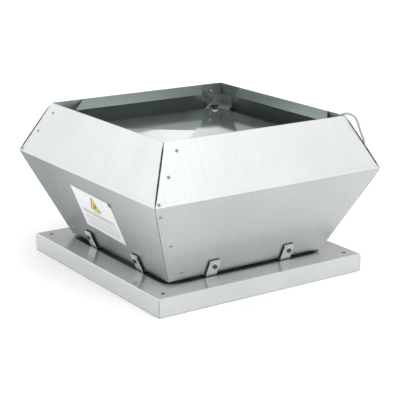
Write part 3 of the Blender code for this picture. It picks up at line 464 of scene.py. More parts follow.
def slab(outline, low, high, soften=0.0, steps=2):
    """A flat outline given a thickness, with its edges rounded off."""
    bm = bmesh.new()
    face = bm.faces.new([bm.verts.new((x, y, low)) for x, y in outline])
    raised = bmesh.ops.extrude_face_region(bm, geom=[face])["geom"]
    up = [item for item in raised if isinstance(item, bmesh.types.BMVert)]
    bmesh.ops.translate(bm, verts=up, vec=(0, 0, high - low))
    if soften:
        edges = [edge for edge in bm.edges if edge.calc_face_angle(0) > radians(50)]
        bmesh.ops.bevel(bm, geom=edges, offset=soften, segments=steps, profile=0.5, affect="EDGES")
    return mesh_of(bm)


def hexagon(radius, low, high, chamfer=0.0006):
    """A hexagon nut or head, with its corners turned off at both ends."""
    bm = bmesh.new()
    bmesh.ops.create_cone(bm, cap_ends=True, segments=6, radius1=radius, radius2=radius, depth=high - low)
    bmesh.ops.translate(bm, verts=bm.verts, vec=(0, 0, (low + high) / 2))
    edges = [edge for edge in bm.edges if abs(edge.verts[0].co.z - edge.verts[1].co.z) < 1e-6]
    bmesh.ops.bevel(bm, geom=edges, offset=chamfer, segments=2, profile=0.6, affect="EDGES")
    return mesh_of(bm)


def wall(bm, near, far):
    """Faces all round between two closed loops of vertices."""
    for number in range(len(near)):
        after = (number + 1) % len(near)
        bm.faces.new((near[number], near[after], far[after], far[number]))


def together(*shapes):
    """Several meshes, each alone or with a matrix, as one."""
    bm = bmesh.new()
    for shape in shapes:
        mesh, matrix = shape if isinstance(shape, tuple) else (shape, Matrix.Identity(4))
        part = bmesh.new()
        part.from_mesh(mesh)
        bmesh.ops.transform(part, matrix=matrix, verts=part.verts)
        copy = bpy.data.meshes.new("copy")
        part.to_mesh(copy)
        part.free()
        bm.from_mesh(copy)
    joined = bpy.data.meshes.new("joined")
    bm.to_mesh(joined)
    bm.free()
    return smoothed(joined)


def piece(name, mesh, surface, matrix=None, body="housing", stands_for=()):
    """Puts a mesh in the scene as one piece that rides on a body."""
    obj = bpy.data.objects.new(name, mesh)
    bpy.context.scene.collection.objects.link(obj)
    if not mesh.materials:
        mesh.materials.append(surface)
    obj.matrix_world = matrix or Matrix.Identity(4)
    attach(obj, body)
    if stands_for:
        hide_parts(*stands_for)
    return obj


def fastener(name, mesh, matrix, body="housing", stands_for=()):
    return piece(name, mesh, ZINC, matrix, body, stands_for)


def around(radius, angle, height=0.0):
    return Vector((radius * cos(angle), radius * sin(angle), height))


def side_turn(side):
    return Matrix.Rotation(side * pi / 2, 4, "Z")


def lower_wall(along, up, out=0.0):
    """Axes on the front lower wall: X along it, Y up its slope, and Z straight out of it."""
    y = -FOOT_HALF - up * sin(LOWER_SLOPE) - out * cos(LOWER_SLOPE)
    z = FOOT_Z + up * cos(LOWER_SLOPE) - out * sin(LOWER_SLOPE)
    return Matrix.Translation((along, y, z)) @ Matrix.Rotation(pi / 2 + LOWER_SLOPE, 4, "X")


def upper_wall(along, up, out=0.0):
    """Axes on the front upper wall, with up measured from the waist."""
    y = -WAIST_HALF + up * sin(UPPER_SLOPE) - out * cos(UPPER_SLOPE)
    z = WAIST_Z + up * cos(UPPER_SLOPE) + out * sin(UPPER_SLOPE)
    return Matrix.Translation((along, y, z)) @ Matrix.Rotation(pi / 2 - UPPER_SLOPE, 4, "X")


# Cable. The right-hand front corner lies along +X -Y; "out" is measured that way from the axis, and
# "aside" at a right angle to it, towards +X +Y.

CABLE_RADIUS = 0.0025
CABLE_Z = 0.2680
CABLE_ASIDE = 0.012
BUSH_LENGTH = 0.025
STATOR_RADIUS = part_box("motor_stator")[1].x
COIL_LOW, COIL_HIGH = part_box("cable_coil")
COIL_MIDDLE = (COIL_LOW + COIL_HIGH) / 2
COIL_REACH = (COIL_HIGH.x - COIL_LOW.x) / 2 - CABLE_RADIUS
CLIP_ALONG, CLIP_Z = -0.052, 0.2420
LYING_Z = 0.0027
TAIL_END_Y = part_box("cable_tail")[1].y
DROP_X = 0.2725
CORE_OFFSET, CORE_RADIUS = 0.0012, 0.0009
SHEATH_END = 0.008
FERRULE = 0.008


def corner_point(out, aside, height):
    return Vector(((out + aside) * DIAGONAL, (aside - out) * DIAGONAL, height))


def right_wall_point(along, height, out=0.0):
    """A place beside the right upper wall, at a distance out from its face, along +Y."""
    x = WAIST_HALF - (height - WAIST_Z) * tan(UPPER_SLOPE) + out / cos(UPPER_SLOPE)
    return Vector((x, along, height))


def cable_route():
    """The points that the cable is led through, from the bush to the coil."""
    start = STATOR_RADIUS + GAP + BUSH_LENGTH + GAP
    lying = CABLE_RADIUS + GAP
    lane = COIL_MIDDLE.x - COIL_REACH
    return [
        corner_point(start, CABLE_ASIDE, CABLE_Z),
        corner_point(start + 0.020, CABLE_ASIDE, CABLE_Z),
        corner_point(0.160, CABLE_ASIDE, CABLE_Z - 0.002),
        corner_point(0.240, CABLE_ASIDE, CABLE_Z - 0.001),
        corner_point(0.267, CABLE_ASIDE, CABLE_Z - 0.0005),
        corner_point(0.2795, CABLE_ASIDE - 0.0005, 0.2703),
        corner_point(0.2877, CABLE_ASIDE - 0.0015, 0.2785),
        corner_point(0.2907, CABLE_ASIDE - 0.003, 0.2895),
        corner_point(0.2923, 0.005, 0.3060),
        corner_point(0.2955, 0.002, 0.3235),
        corner_point(0.3030, 0.0005, 0.3314),
        corner_point(0.3130, 0.0, 0.3346),
        corner_point(0.3230, 0.0, 0.3326),
        corner_point(0.3310, 0.0, 0.3266),
        corner_point(0.3362, 0.0, 0.3165),
        corner_point(0.3425, 0.0005, 0.2990),
        corner_point(0.3500, 0.0020, 0.2790),
        right_wall_point(-0.2340, 0.2620, lying + 0.0004),
        right_wall_point(-0.2060, 0.2520, lying + 0.0002),
        right_wall_point(-0.1650, 0.2465, lying),
        right_wall_point(-0.1100, 0.2440, lying),
        right_wall_point(CLIP_ALONG, CLIP_Z, lying),
        right_wall_point(-0.0200, 0.2380, lying + 0.0002),
        right_wall_point(0.0000, 0.2290, lying + 0.0008),
        Vector((DROP_X + 0.0052, 0.0115, 0.2130)),
        Vector((DROP_X + 0.0055, 0.0180, 0.1880)),
        Vector((DROP_X + 0.0050, 0.0190, 0.1400)),
        Vector((DROP_X + 0.0045, 0.0190, 0.0900)),
        Vector((lane, 0.0200, 0.0450)),
        Vector((lane, 0.0240, 0.0240)),
        Vector((lane, 0.0350, 0.0090)),
        Vector((lane, 0.0520, LYING_Z + 0.0006)),
        Vector((lane, 0.0715, COIL_LOW.z + CABLE_RADIUS)),
    ]


def centripetal(first, second, third, fourth, share):
    """A point on the centripetal Catmull-Rom curve between the second and third points."""
    knots = [0.0]
    for before, after in ((first, second), (second, third), (third, fourth)):
        knots.append(knots[-1] + sqrt((after - before).length))
    t = knots[1] + (knots[2] - knots[1]) * share
    a1 = first.lerp(second, (t - knots[0]) / (knots[1] - knots[0]))
    a2 = second.lerp(third, (t - knots[1]) / (knots[2] - knots[1]))
    a3 = third.lerp(fourth, (t - knots[2]) / (knots[3] - knots[2]))
    b1 = a1.lerp(a2, (t - knots[0]) / (knots[2] - knots[0]))
    b2 = a2.lerp(a3, (t - knots[1]) / (knots[3] - knots[1]))
    return b1.lerp(b2, (t - knots[1]) / (knots[2] - knots[1]))


def smooth_path(points, steps=5):
    padded = [2 * points[0] - points[1], *points, 2 * points[-1] - points[-2]]
    path = []
    for first, second, third, fourth in zip(padded, padded[1:], padded[2:], padded[3:]):
        path += [centripetal(first, second, third, fourth, step / steps) for step in range(steps)]
    return path + [points[-1]]


COIL_TURNS_IN, COIL_CLIMB, COIL_TURNS_OUT = 1.5, 0.5, 2.0
COIL_POINTS_A_TURN = 30


def coil_points():
    """A flat spiral inwards, a short climb, and a second spiral outwards on top of the first."""
    pitch = 2 * CABLE_RADIUS
    low, high = COIL_LOW.z + CABLE_RADIUS, COIL_HIGH.z - CABLE_RADIUS
    total = COIL_TURNS_IN + COIL_CLIMB + COIL_TURNS_OUT
    count = round(total * COIL_POINTS_A_TURN)
    points = []
    for number in range(count + 1):
        turns = number / COIL_POINTS_A_TURN
        if turns <= COIL_TURNS_IN:
            radius, height = COIL_REACH - pitch * turns, low
        elif turns <= COIL_TURNS_IN + COIL_CLIMB:
            share = (turns - COIL_TURNS_IN) / COIL_CLIMB
            inset = pitch * turns + 0.0018 * sin(pi * share)
            radius = COIL_REACH - inset
            height = low + (high - low) * share * share * (3 - 2 * share)
        else:
            radius = COIL_REACH - pitch * (total - turns)
            height = high
        angle = pi - 2 * pi * turns
        points.append(Vector((COIL_MIDDLE.x, COIL_MIDDLE.y, 0)) + around(radius, angle, height))
    return points


def make_cable():
    coil = coil_points()
    lane = coil[0].x
    tail = [coil[-1], Vector((lane, COIL_MIDDLE.y + 0.0092, COIL_HIGH.z - CABLE_RADIUS - 0.0006)),
            Vector((lane, COIL_MIDDLE.y + 0.0185, COIL_LOW.z + CABLE_RADIUS + 0.0035)),
            Vector((lane, TAIL_END_Y - 0.020, LYING_Z + 0.001)),
            Vector((lane, TAIL_END_Y - 0.010, LYING_Z)), Vector((lane, TAIL_END_Y, LYING_Z))]
    route = cable_route()
    path = smooth_path(route + [coil[0]])[:-1] + coil + smooth_path(tail)[1:]
    curve = bpy.data.curves.new("cable", "CURVE")
    curve.dimensions = "3D"
    curve.bevel_depth = CABLE_RADIUS
    curve.bevel_resolution = 4
    curve.use_fill_caps = True
    spline = curve.splines.new("POLY")
    spline.points.add(len(path) - 1)
    for point, place_of in zip(spline.points, path):
        point.co = (*place_of, 1)
    cable = bpy.data.objects.new("cable", curve)
    bpy.context.scene.collection.objects.link(cable)
    curve.materials.append(PVC)
    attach(cable, "housing")
    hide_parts("motor_cable", "cable_coil", "cable_tail")
    ends = make_cable_ends(path)


def make_cable_ends(path):
    """The ribbed bush at the motor, and the stripped cores with their ferrules at the far end."""
    aim = Matrix.Rotation(-pi / 4, 4, "Z") @ Matrix.Rotation(pi / 2, 4, "Y")
    start = corner_point(STATOR_RADIUS + GAP, CABLE_ASIDE, CABLE_Z)
    bush = piece("strain_relief", bush_mesh(), RUBBER, Matrix.Translation(start) @ aim,
                 stands_for=["cable_bush"])
    end_low, end_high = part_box("cable_lead_end")
    lay = Matrix.Translation((path[-1].x, end_low.y, LYING_Z)) @ Matrix.Rotation(-pi / 2, 4, "X")
    skin = rod(CABLE_RADIUS, 0.0, SHEATH_END, 0.0003, 24)
    sheath = piece("cable_sheath_end", skin, PVC, lay)
    pieces = [bush, sheath]
    length = end_high.y - end_low.y
    for number, surface in enumerate((BROWN_CORE, BLUE_CORE, GREEN_CORE)):
        angle = pi / 2 + number * 2 * pi / 3
        aside = Matrix.Translation(around(CORE_OFFSET, angle))
        core = core_mesh(length, surface)
        pieces.append(piece(f"cable_core_{number + 1}", core, surface, lay @ aside))
    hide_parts("cable_lead_end")
    return pieces


def bush_mesh(ribs=7):
    """A cone with grooves around it, bored for the cable."""
    wide, narrow = 0.0042, 0.0031
    bore = CABLE_RADIUS + 0.0001
    outline = [(bore, 0.0), (0.0056, 0.0), (0.0056, 0.0022), (wide, 0.0026)]
    first, last = 0.0045, BUSH_LENGTH - 0.002
    pitch = (last - first) / ribs
    for rib in range(ribs):
        low = first + rib * pitch
        radius = wide + (narrow - wide) * (low - first) / (last - first)
        outline += [(radius, low), (radius, low + 0.55 * pitch), (radius - 0.0005, low + 0.62 * pitch),
                    (radius - 0.0005, low + 0.93 * pitch)]
    outline += [(narrow, last), (narrow, BUSH_LENGTH), (bore, BUSH_LENGTH)]
    return lathe(outline, 32)


def core_mesh(length, surface):
    """One insulated core with a tinned ferrule on its end."""
    skin_end = length - FERRULE
    skin = rod(CORE_RADIUS, SHEATH_END - 0.001, skin_end, 0.0002, 16)
    tip = rod(CORE_RADIUS * 0.7, skin_end - 0.001, length, 0.0002, 16)
    skin.materials.append(surface)
    skin.materials.append(TINNED)
    mesh = together(skin, tip)
    mesh.materials.append(surface)
    mesh.materials.append(TINNED)
    for face in mesh.polygons:
        face.material_index = 1 if face.center.z > skin_end + 0.0001 else 0
    return mesh


make_cable()


# Ties that hold the cable: on the carrier's arm, this far out from the axis, and round the coil.

ARM_TIES = (0.115, 0.200)


def strap_mesh(inner, outer, width, steps=28):
    """A flat band around two half sizes with round corners, as a closed loop in X and Z."""
    bm = bmesh.new()
    rings = []
    corner_in, corner_out = min(inner) * 0.9, min(outer) * 0.9
    for half, corner in ((inner, corner_in), (outer, corner_out)):
        loop = rounded(rectangle(half[0], -half[1], half[1]), corner, steps // 4)
        for y in (-width / 2, width / 2):
            rings.append([bm.verts.new((point.x, y, point.y)) for point in loop])
    inner_near, inner_far, outer_near, outer_far = rings
    for first, second in ((inner_near, inner_far), (inner_far, outer_far), (outer_far, outer_near),
                          (outer_near, inner_near)):
        wall(bm, first, second)
    return mesh_of(bm, 40)


def tie_head(at, size=0.0032):
    bm = bmesh.new()
    bmesh.ops.create_cube(bm, size=size)
    bmesh.ops.bevel(bm, geom=bm.edges[:], offset=size * 0.18, segments=2, profile=0.5, affect="EDGES")
    bmesh.ops.translate(bm, verts=bm.verts, vec=at)
    return mesh_of(bm)


def make_ties():
    """Two ties that hold the cable in the carrier's arm, and one around the coil."""
    for number, out in enumerate(ARM_TIES):
        half = CABLE_RADIUS + 0.0002
        lift = (CARRIER_LOW - CABLE_Z) / 2
        band = strap_mesh((half, half + lift / 2), (half + 0.0006, half + lift / 2 + 0.0003), 0.0026)
        head = tie_head((-half - 0.0016, 0, 0))
        at = corner_point(out, CABLE_ASIDE, CABLE_Z - 0.0012)
        turn = Matrix.Rotation(pi / 4, 4, "Z")
        piece(f"cable_tie_{number + 1}", together(band, head), BLACK_NYLON, Matrix.Translation(at) @ turn)
    wide = (COIL_HIGH.x - COIL_LOW.x) / 2
    band_middle = COIL_MIDDLE.x + wide - 2 * CABLE_RADIUS - 0.0025
    half_x, half_z = 0.0078, (COIL_HIGH.z - COIL_LOW.z) / 2 + 0.0001
    band = strap_mesh((half_x, half_z), (half_x + 0.0006, half_z + 0.0006), 0.004)
    head = tie_head((0, 0, half_z + 0.0006 + 0.0014))
    at = Vector((band_middle, COIL_MIDDLE.y, (COIL_HIGH.z + COIL_LOW.z) / 2))
    piece("coil_tie", together(band, head), BLACK_NYLON, Matrix.Translation(at))


make_ties()


# Housing: finishes of the sheet, rivets, pads and bolts.


def finish_node(name, surface):
    """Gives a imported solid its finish."""
    obj = NODES[name]
    obj.data.materials.clear()
    obj.data.materials.append(surface)


def finish_sheet():
    for side, name in enumerate(SIDES):
        on_x = side % 2 == 0
        finish_node(f"upper_panel_{name}", UPPER_ON_X if on_x else UPPER_ON_Y)
        finish_node(f"lower_panel_{name}", LOWER_ON_X if on_x else LOWER_ON_Y)
    for number in range(1, 9):
        on_x = (number - 1) // 2 % 2 == 0
        finish_node(f"hold_down_bracket_{number}", BRACKET_ON_X if on_x else BRACKET_ON_Y)
    for name in CORNERS:
        finish_node(f"corner_bracket_{name}", INNER_SHEET)
    finish_node("base_tray", TRAY_SHEET)
    finish_node("rain_cover", COVER_SHEET)
    finish_node("motor_carrier", INNER_SHEET)
    finish_node("label_plate", FILM)
    finish_node("cable_clip", NYLON)
    finish_node("bearing_lower", GROUND_STEEL)
    finish_node("bearing_upper", GROUND_STEEL)


# Rivets near one end of each side: along it from its middle, and up its slope.
UPPER_RIVETS = ((-0.196, 0.1005), (-0.2275, 0.0537), (-0.2618, 0.0065))
LOWER_RIVETS = ((-0.2545, 0.1753), (-0.211, 0.0967), (-0.1666, 0.0206))
TWO_SHEETS = 2 * SHEET + GAP
WITH_BRACKET = TWO_SHEETS + BRACKET_SHEET + GAP


def rivet_mesh(grip):
    """A blind rivet: a low dome, the hole its mandrel broke off in, and the set tail behind the sheets."""
    hole, body, head = 0.0015, 0.0020, 0.0039
    profile = [(0.0, 0.0001), (hole, 0.0001), (hole, 0.0013), (0.0019, 0.00145), (0.0025, 0.0013),
               (0.0031, 0.0009), (0.0036, 0.0005), (head, 0.0001), (head, 0.00002), (body, 0.00002),
               (body, -grip), (0.0027, -grip - 0.0003), (0.0030, -grip - 0.0012), (0.0029, -grip - 0.0026),
               (0.0022, -grip - 0.0040), (0.0011, -grip - 0.0046), (0.0009, -grip - 0.0062),
               (0.0, -grip - 0.0062)]
    mesh = lathe(profile, 24, closed=False, angle=38)
    # The mandrel's end and the walls of its hole are near black: the mandrel's own dark steel and painted
    # shade in the hole.
    mesh.materials.append(RIVET_STEEL)
    mesh.materials.append(MANDREL_AND_HOLE_SHADE)
    for face in mesh.polygons:
        in_hole = max(mesh.vertices[number].co.xy.length for number in face.vertices) < hole + 1e-5
        face.material_index = 1 if in_hole and face.center.z > 0 else 0
    return mesh


def make_rivets():
    plain, long_one = rivet_mesh(TWO_SHEETS), rivet_mesh(WITH_BRACKET)
    for side, name in enumerate(SIDES):
        for number, (along, up) in enumerate(UPPER_RIVETS):
            mesh = long_one if number == 1 else plain
            fastener(f"upper_rivet_{name}_{number + 1}", mesh, side_turn(side) @ upper_wall(along, up))
        for number, (along, up) in enumerate(LOWER_RIVETS):
            fastener(f"lower_rivet_{name}_{number + 1}", plain, side_turn(side) @ lower_wall(along, up))


BRACKET_BOLT_UP = 0.023
BRACKET_TOP = 0.036
BRACKET_WIDTH = 0.026
BRACKET_CHAMFER = 0.003
STAND_OFF = 0.0025
SHANK = 0.003
CONTACT = 0.00005
# The washer is set wider than the CAD's 6.5 mm radius, and the head smaller than its 5.7 mm.
WASHER = 0.0074
WASHER_SHEET = 0.0012
HEAD = 0.0052
HEAD_HEIGHT = 0.004
NUT_HEIGHT = 0.005


def bolt_mesh(low, high):
    """An M6 hexagon bolt on a washer, with a nut, clamping what lies between two heights."""
    washer_low = high + CONTACT
    washer_high = washer_low + WASHER_SHEET
    head_low = washer_high
    head_high = head_low + HEAD_HEIGHT
    nut_high = low - CONTACT
    nut_low = nut_high - NUT_HEIGHT
    end = nut_low - 0.0015
    hole = SHANK + 0.0004
    washer = lathe(rounded([(hole, washer_low), (WASHER, washer_low), (WASHER, washer_high),
                            (hole, washer_high)], 0.0003), 40)
    head = hexagon(HEAD, head_low, head_high)
    nut = hexagon(HEAD, nut_low, nut_high), Matrix.Rotation(0.2, 4, "Z")
    thread = [(0.0, head_low), (SHANK - 0.0002, head_low)]
    turns = 6
    start = nut_low + 0.0005
    pitch = (start - end - 0.0004) / turns
    for number in range(turns):
        top = start - pitch * number
        thread += [(SHANK, top - 0.2 * pitch), (SHANK - 0.0003, top - 0.7 * pitch)]
    thread += [(SHANK - 0.0006, end), (0.0, end)]
    dark = together(head, nut, lathe(thread, 24, closed=False))
    for face in dark.polygons:
        face.material_index = 1
    bolt = together(washer, dark)
    bolt.materials.append(ZINC)
    bolt.materials.append(BOLT_STEEL)
    return bolt


def make_bracket_bolts():
    bolt = bolt_mesh(-SHEET, STAND_OFF + BRACKET_SHEET)
    half, top = BRACKET_WIDTH / 2 - 0.0002, BRACKET_TOP - 0.0002
    outline = [(-half, 0.0004), (half, 0.0004), (half, top - BRACKET_CHAMFER), (half - BRACKET_CHAMFER, top),
               (BRACKET_CHAMFER - half, top), (-half, top - BRACKET_CHAMFER)]
    # Black pads fill the stand-off behind each bracket's leg: their black is painted shade for that gap, as
    # well as the rubber's own colour.
    pad = slab(outline, 0.0001, STAND_OFF - 0.0001, 0.0003)
    for number in range(1, 9):
        side = (number - 1) // 2
        low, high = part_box(f"hold_down_bracket_{number}")
        along = (side_turn(side).inverted() @ ((low + high) / 2)).x
        turn = side_turn(side)
        spin = Matrix.Rotation(radians(37 * number), 4, "Z")
        fastener(f"bracket_bolt_{number}_m6", bolt, turn @ lower_wall(along, BRACKET_BOLT_UP) @ spin,
                 stands_for=[f"bracket_bolt_{number}"])
        piece(f"bracket_pad_{number}", pad, RUBBER, turn @ lower_wall(along, 0))


def make_cover_bolts():
    """The bolts through the cover, a corner bracket's shelf and the carrier."""
    for name in CORNERS:
        low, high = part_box(f"cover_bolt_{name}")
        centre = (low + high) / 2
        grip_high = high.z - HEAD_HEIGHT - WASHER_SHEET - GAP
        bolt = bolt_mesh(CARRIER_LOW, grip_high)
        fastener(f"cover_bolt_{name}_m6", bolt, Matrix.Translation((centre.x, centre.y, 0)),
                 stands_for=[f"cover_bolt_{name}"])


finish_sheet()
make_rivets()
make_bracket_bolts()
make_cover_bolts()


# Label: a blank film with a plain amber mark and rules, and one corner that has peeled.

LABEL_UP = 0.106
LABEL_TILT = radians(-3)
LABEL_HALF_WIDTH, LABEL_HALF_HEIGHT = 0.076, 0.051
LABEL_CUT = 0.009
PRINT_LOW, PRINT_HIGH = 0.00082, 0.00090
PRINT_STEP = 0.00006


def label_axes():
    return side_turn(3) @ lower_wall(0, LABEL_UP) @ Matrix.Rotation(LABEL_TILT, 4, "Z")


def make_label_print():
    axes = label_axes()
    half, low, high = 0.0195, 0.0090, 0.0440  # the amber triangle's half width, base and tip
    edge = rounded([(-half, low), (half, low), (0.0, high)], 0.003, 4)
    inset = 0.0021
    face = rounded([(inset * 1.8 - half, low + inset), (half - inset * 1.8, low + inset),
                    (0.0, high - 2.1 * inset)], 0.002, 4)
    piece("label_mark_edge", slab(edge, PRINT_LOW, PRINT_HIGH), DARK_PRINT, axes)
    piece("label_mark", slab(face, PRINT_LOW, PRINT_HIGH + PRINT_STEP), AMBER, axes)
    dot = lathe([(0.0, PRINT_LOW), (0.0044, PRINT_LOW), (0.0044, PRINT_HIGH + 2 * PRINT_STEP),
                 (0.0, PRINT_HIGH + 2 * PRINT_STEP)], 32, closed=False)
    piece("label_mark_dot", dot, DARK_PRINT, axes @ Matrix.Translation((0, low + 0.0098, 0)))
    # Each rule has its height on the label, its half length and its thickness: a title, two bold ones,
    # three thin ones, a bold one and a thin one.
    rules = [(0.0030, 0.0120, 0.0018), (-0.0042, 0.060, 0.0020), (-0.0094, 0.062, 0.0018)]
    rules += [(-0.0170 - 0.0058 * row, 0.062, 0.0009) for row in range(3)]
    rules += [(-0.0355, 0.062, 0.0014), (-0.0415, 0.062, 0.0009)]
    shapes = []
    for height, reach, thick in rules:
        shapes.append(slab(rectangle(reach, height, height + thick), PRINT_LOW, PRINT_HIGH))
    piece("label_rules", together(*shapes), GREY_PRINT, axes)
    piece("label_peel", peel_mesh(), FILM, axes)


def peel_mesh(columns=10, rows=10):
    """The corner of the film, lifted and curled back about the line where it has come off."""
    bm = bmesh.new()
    start = Vector((LABEL_HALF_WIDTH, LABEL_HALF_HEIGHT - LABEL_CUT))
    end = Vector((LABEL_HALF_WIDTH - LABEL_CUT, LABEL_HALF_HEIGHT))
    away = Vector((DIAGONAL, DIAGONAL))
    deep = LABEL_CUT * DIAGONAL
    radius = 0.0022
    grid = []
    for row in range(rows + 1):
        share = row / rows
        distance = deep * share
        turn = min(distance / radius, radians(155))
        straight = max(distance - radius * radians(155), 0.0)
        lift = radius * (1 - cos(turn)) + straight * sin(radians(155))
        reach = radius * sin(turn) + straight * cos(radians(155))
        line = []
        for column in range(columns + 1):
            across = 0.5 + (column / columns - 0.5) * (1 - share * 0.92)
            on_line = start.lerp(end, across) + away * reach
            line.append(bm.verts.new((on_line.x, on_line.y, 0.0006 + lift)))
        grid.append(line)
    for near, far in zip(grid, grid[1:]):
        for column in range(columns):
            bm.faces.new((near[column], near[column + 1], far[column + 1], far[column]))
    bmesh.ops.recalc_face_normals(bm, faces=bm.faces)
    bmesh.ops.solidify(bm, geom=bm.faces[:], thickness=0.00015)
    return mesh_of(bm, 60)


make_label_print()


# Corner joints: a thin dark bead in each open joint between two sheets, as painted shade for the gap there.


def bead(start, end, radius, rings=40):
    """A dark bead along a line, a little uneven, with its ends tapered: painted shade for an open joint."""
    along = (end - start).normalized()
    turn = along.to_track_quat("Z", "Y").to_matrix()
    sides = 10
    bm = bmesh.new()
    loops = []
    for ring in range(rings + 1):
        share = ring / rings
        taper = min(1.0, 4 * share + 0.35, 4 * (1 - share) + 0.35)
        size = radius * taper * (1 + 0.07 * sin(23 * share) + 0.05 * sin(57 * share + 1))
        centre = start.lerp(end, share)
        ring_points = [centre + turn @ around(size, 2 * pi * side / sides) for side in range(sides)]
        loops.append([bm.verts.new(point) for point in ring_points])
    for near, far in zip(loops, loops[1:]):
        wall(bm, near, far)
    bm.faces.new(loops[0][::-1])
    bm.faces.new(loops[-1])
    return mesh_of(bm)


def make_corner_beads():
    """Made at the front left corner, and turned to the others."""
    tray_half = -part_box("base_tray")[0].x
    shapes = {
        "upper": bead(corner_at(WAIST_HALF, WAIST_Z + 0.0012, 0.0008),
                      corner_at(RIM_HALF, RIM_Z - 0.0006, 0.0008), 0.0019),
        "lower": bead(corner_at(FOOT_HALF, FOOT_Z + 0.001, 0.0004),
                      corner_at(WAIST_HALF, WAIST_Z - 0.001, 0.0004), 0.00055),
        "tray": bead(corner_at(tray_half, 0.0012, 0.0005), corner_at(tray_half, TRAY_TOP - 0.0025, 0.0005),
                     0.0006),
    }
    for side, name in enumerate(CORNERS):
        for part, mesh in shapes.items():
            piece(f"{part}_joint_{name}", mesh, JOINT_SHADE, side_turn(side))


def corner_at(half, height, inset):
    return Vector((inset - half, inset - half, height))


make_corner_beads()


# Bell mouth, motor and impeller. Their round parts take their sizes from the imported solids.

BELL_SCREW_RING, STUD_RING, ROTOR_SCREW_RING = 0.1425, 0.033, 0.052


def radius_of(name):
    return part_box(name)[1].x


def make_bell_mouth():
    low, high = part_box("inlet_cone")
    flange = radius_of("inlet_cone")
    mouth, throat, neck = 0.126, 0.092, 0.020
    depth = high.z - neck - low.z
    turns = [radians(5 * step) for step in range(19)]
    inner = [(mouth - (mouth - throat) * sin(turn), low.z + depth * (1 - cos(turn))) for turn in turns]
    outer = [(radius + SHEET, height + SHEET * (1 - sin(turn)))
             for (radius, height), turn in zip(inner, turns)]
    rim = high.z - 0.0007
    profile = [(flange, low.z + SHEET), (flange, low.z), *inner, (throat, rim), (throat + 0.0005, high.z),
               (throat + SHEET, rim), *reversed(outer)]
    piece("bell_mouth", lathe(profile, 128), BELL_SHEET, stands_for=["inlet_cone"])
    screw = screw_mesh(0.0035, 0.0022)
    for number in range(8):
        at = around(BELL_SCREW_RING, 2 * pi * (number + 0.5) / 8, low.z + SHEET)
        fastener(f"bell_screw_{number + 1}", screw, Matrix.Translation(at))


def screw_mesh(radius, height):
    """A pan head with a cross-shaped recess, and a short shank below it."""
    profile = [(0.0, -0.0025), (radius * 0.4, -0.0025), (radius * 0.4, 0.0), (radius, 0.0),
               (radius, height * 0.45), (radius * 0.9, height * 0.75), (radius * 0.6, height * 0.95),
               (0.0, height)]
    head = lathe(profile, 32, closed=False)
    cutters = []
    for turn in (0, pi / 2):
        arm = slab(rectangle(radius * 0.55, -0.0003, 0.0003), height * 0.5, height * 2)
        cutters.append((arm, Matrix.Rotation(turn, 4, "Z")))
    return cut(head, cutters)


def cut(mesh, cutters):
    """A mesh with each cutter, given with its matrix, taken out of it."""
    obj = bpy.data.objects.new("blank", mesh)
    bpy.context.scene.collection.objects.link(obj)
    helpers = []
    for cutter, matrix in cutters:
        helper = bpy.data.objects.new("cutter", cutter)
        bpy.context.scene.collection.objects.link(helper)
        helper.matrix_world = matrix
        helpers.append(helper)
        modifier = obj.modifiers.new("cut", "BOOLEAN")
        modifier.operation = "DIFFERENCE"
        modifier.solver = "EXACT"
        modifier.object = helper
    graph = bpy.context.evaluated_depsgraph_get()
    result = bpy.data.meshes.new_from_object(obj.evaluated_get(graph))
    for helper in (*helpers, obj):
        bpy.data.objects.remove(helper, do_unlink=True)
    return smoothed(result)


def make_motor():
    """The stator, with a pocket for a bearing at each end, and the bolts up into the carrier."""
    stator_low, stator_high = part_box("motor_stator")
    flange, core = radius_of("motor_stator"), 0.0395
    seat = stator_high.z - 0.005
    pocket, deep, bore = 0.0113, 0.0073, 0.0055
    profile = [(flange, stator_high.z), (flange, seat), (core, seat), (core, stator_low.z),
               (pocket, stator_low.z), (pocket, stator_low.z + deep), (bore, stator_low.z + deep),
               (bore, stator_high.z - deep), (pocket, stator_high.z - deep), (pocket, stator_high.z)]
    piece("stator", lathe(rounded(profile, 0.0008)), CASTING, stands_for=["motor_stator"])
    stud = bolt_mesh(stator_high.z - 0.001, CARRIER_LOW + CARRIER_SHEET)
    for number in range(4):
        at = around(STUD_RING, pi / 4 + number * pi / 2 + radians(22))
        fastener(f"carrier_bolt_{number + 1}", stud, Matrix.Translation(at))


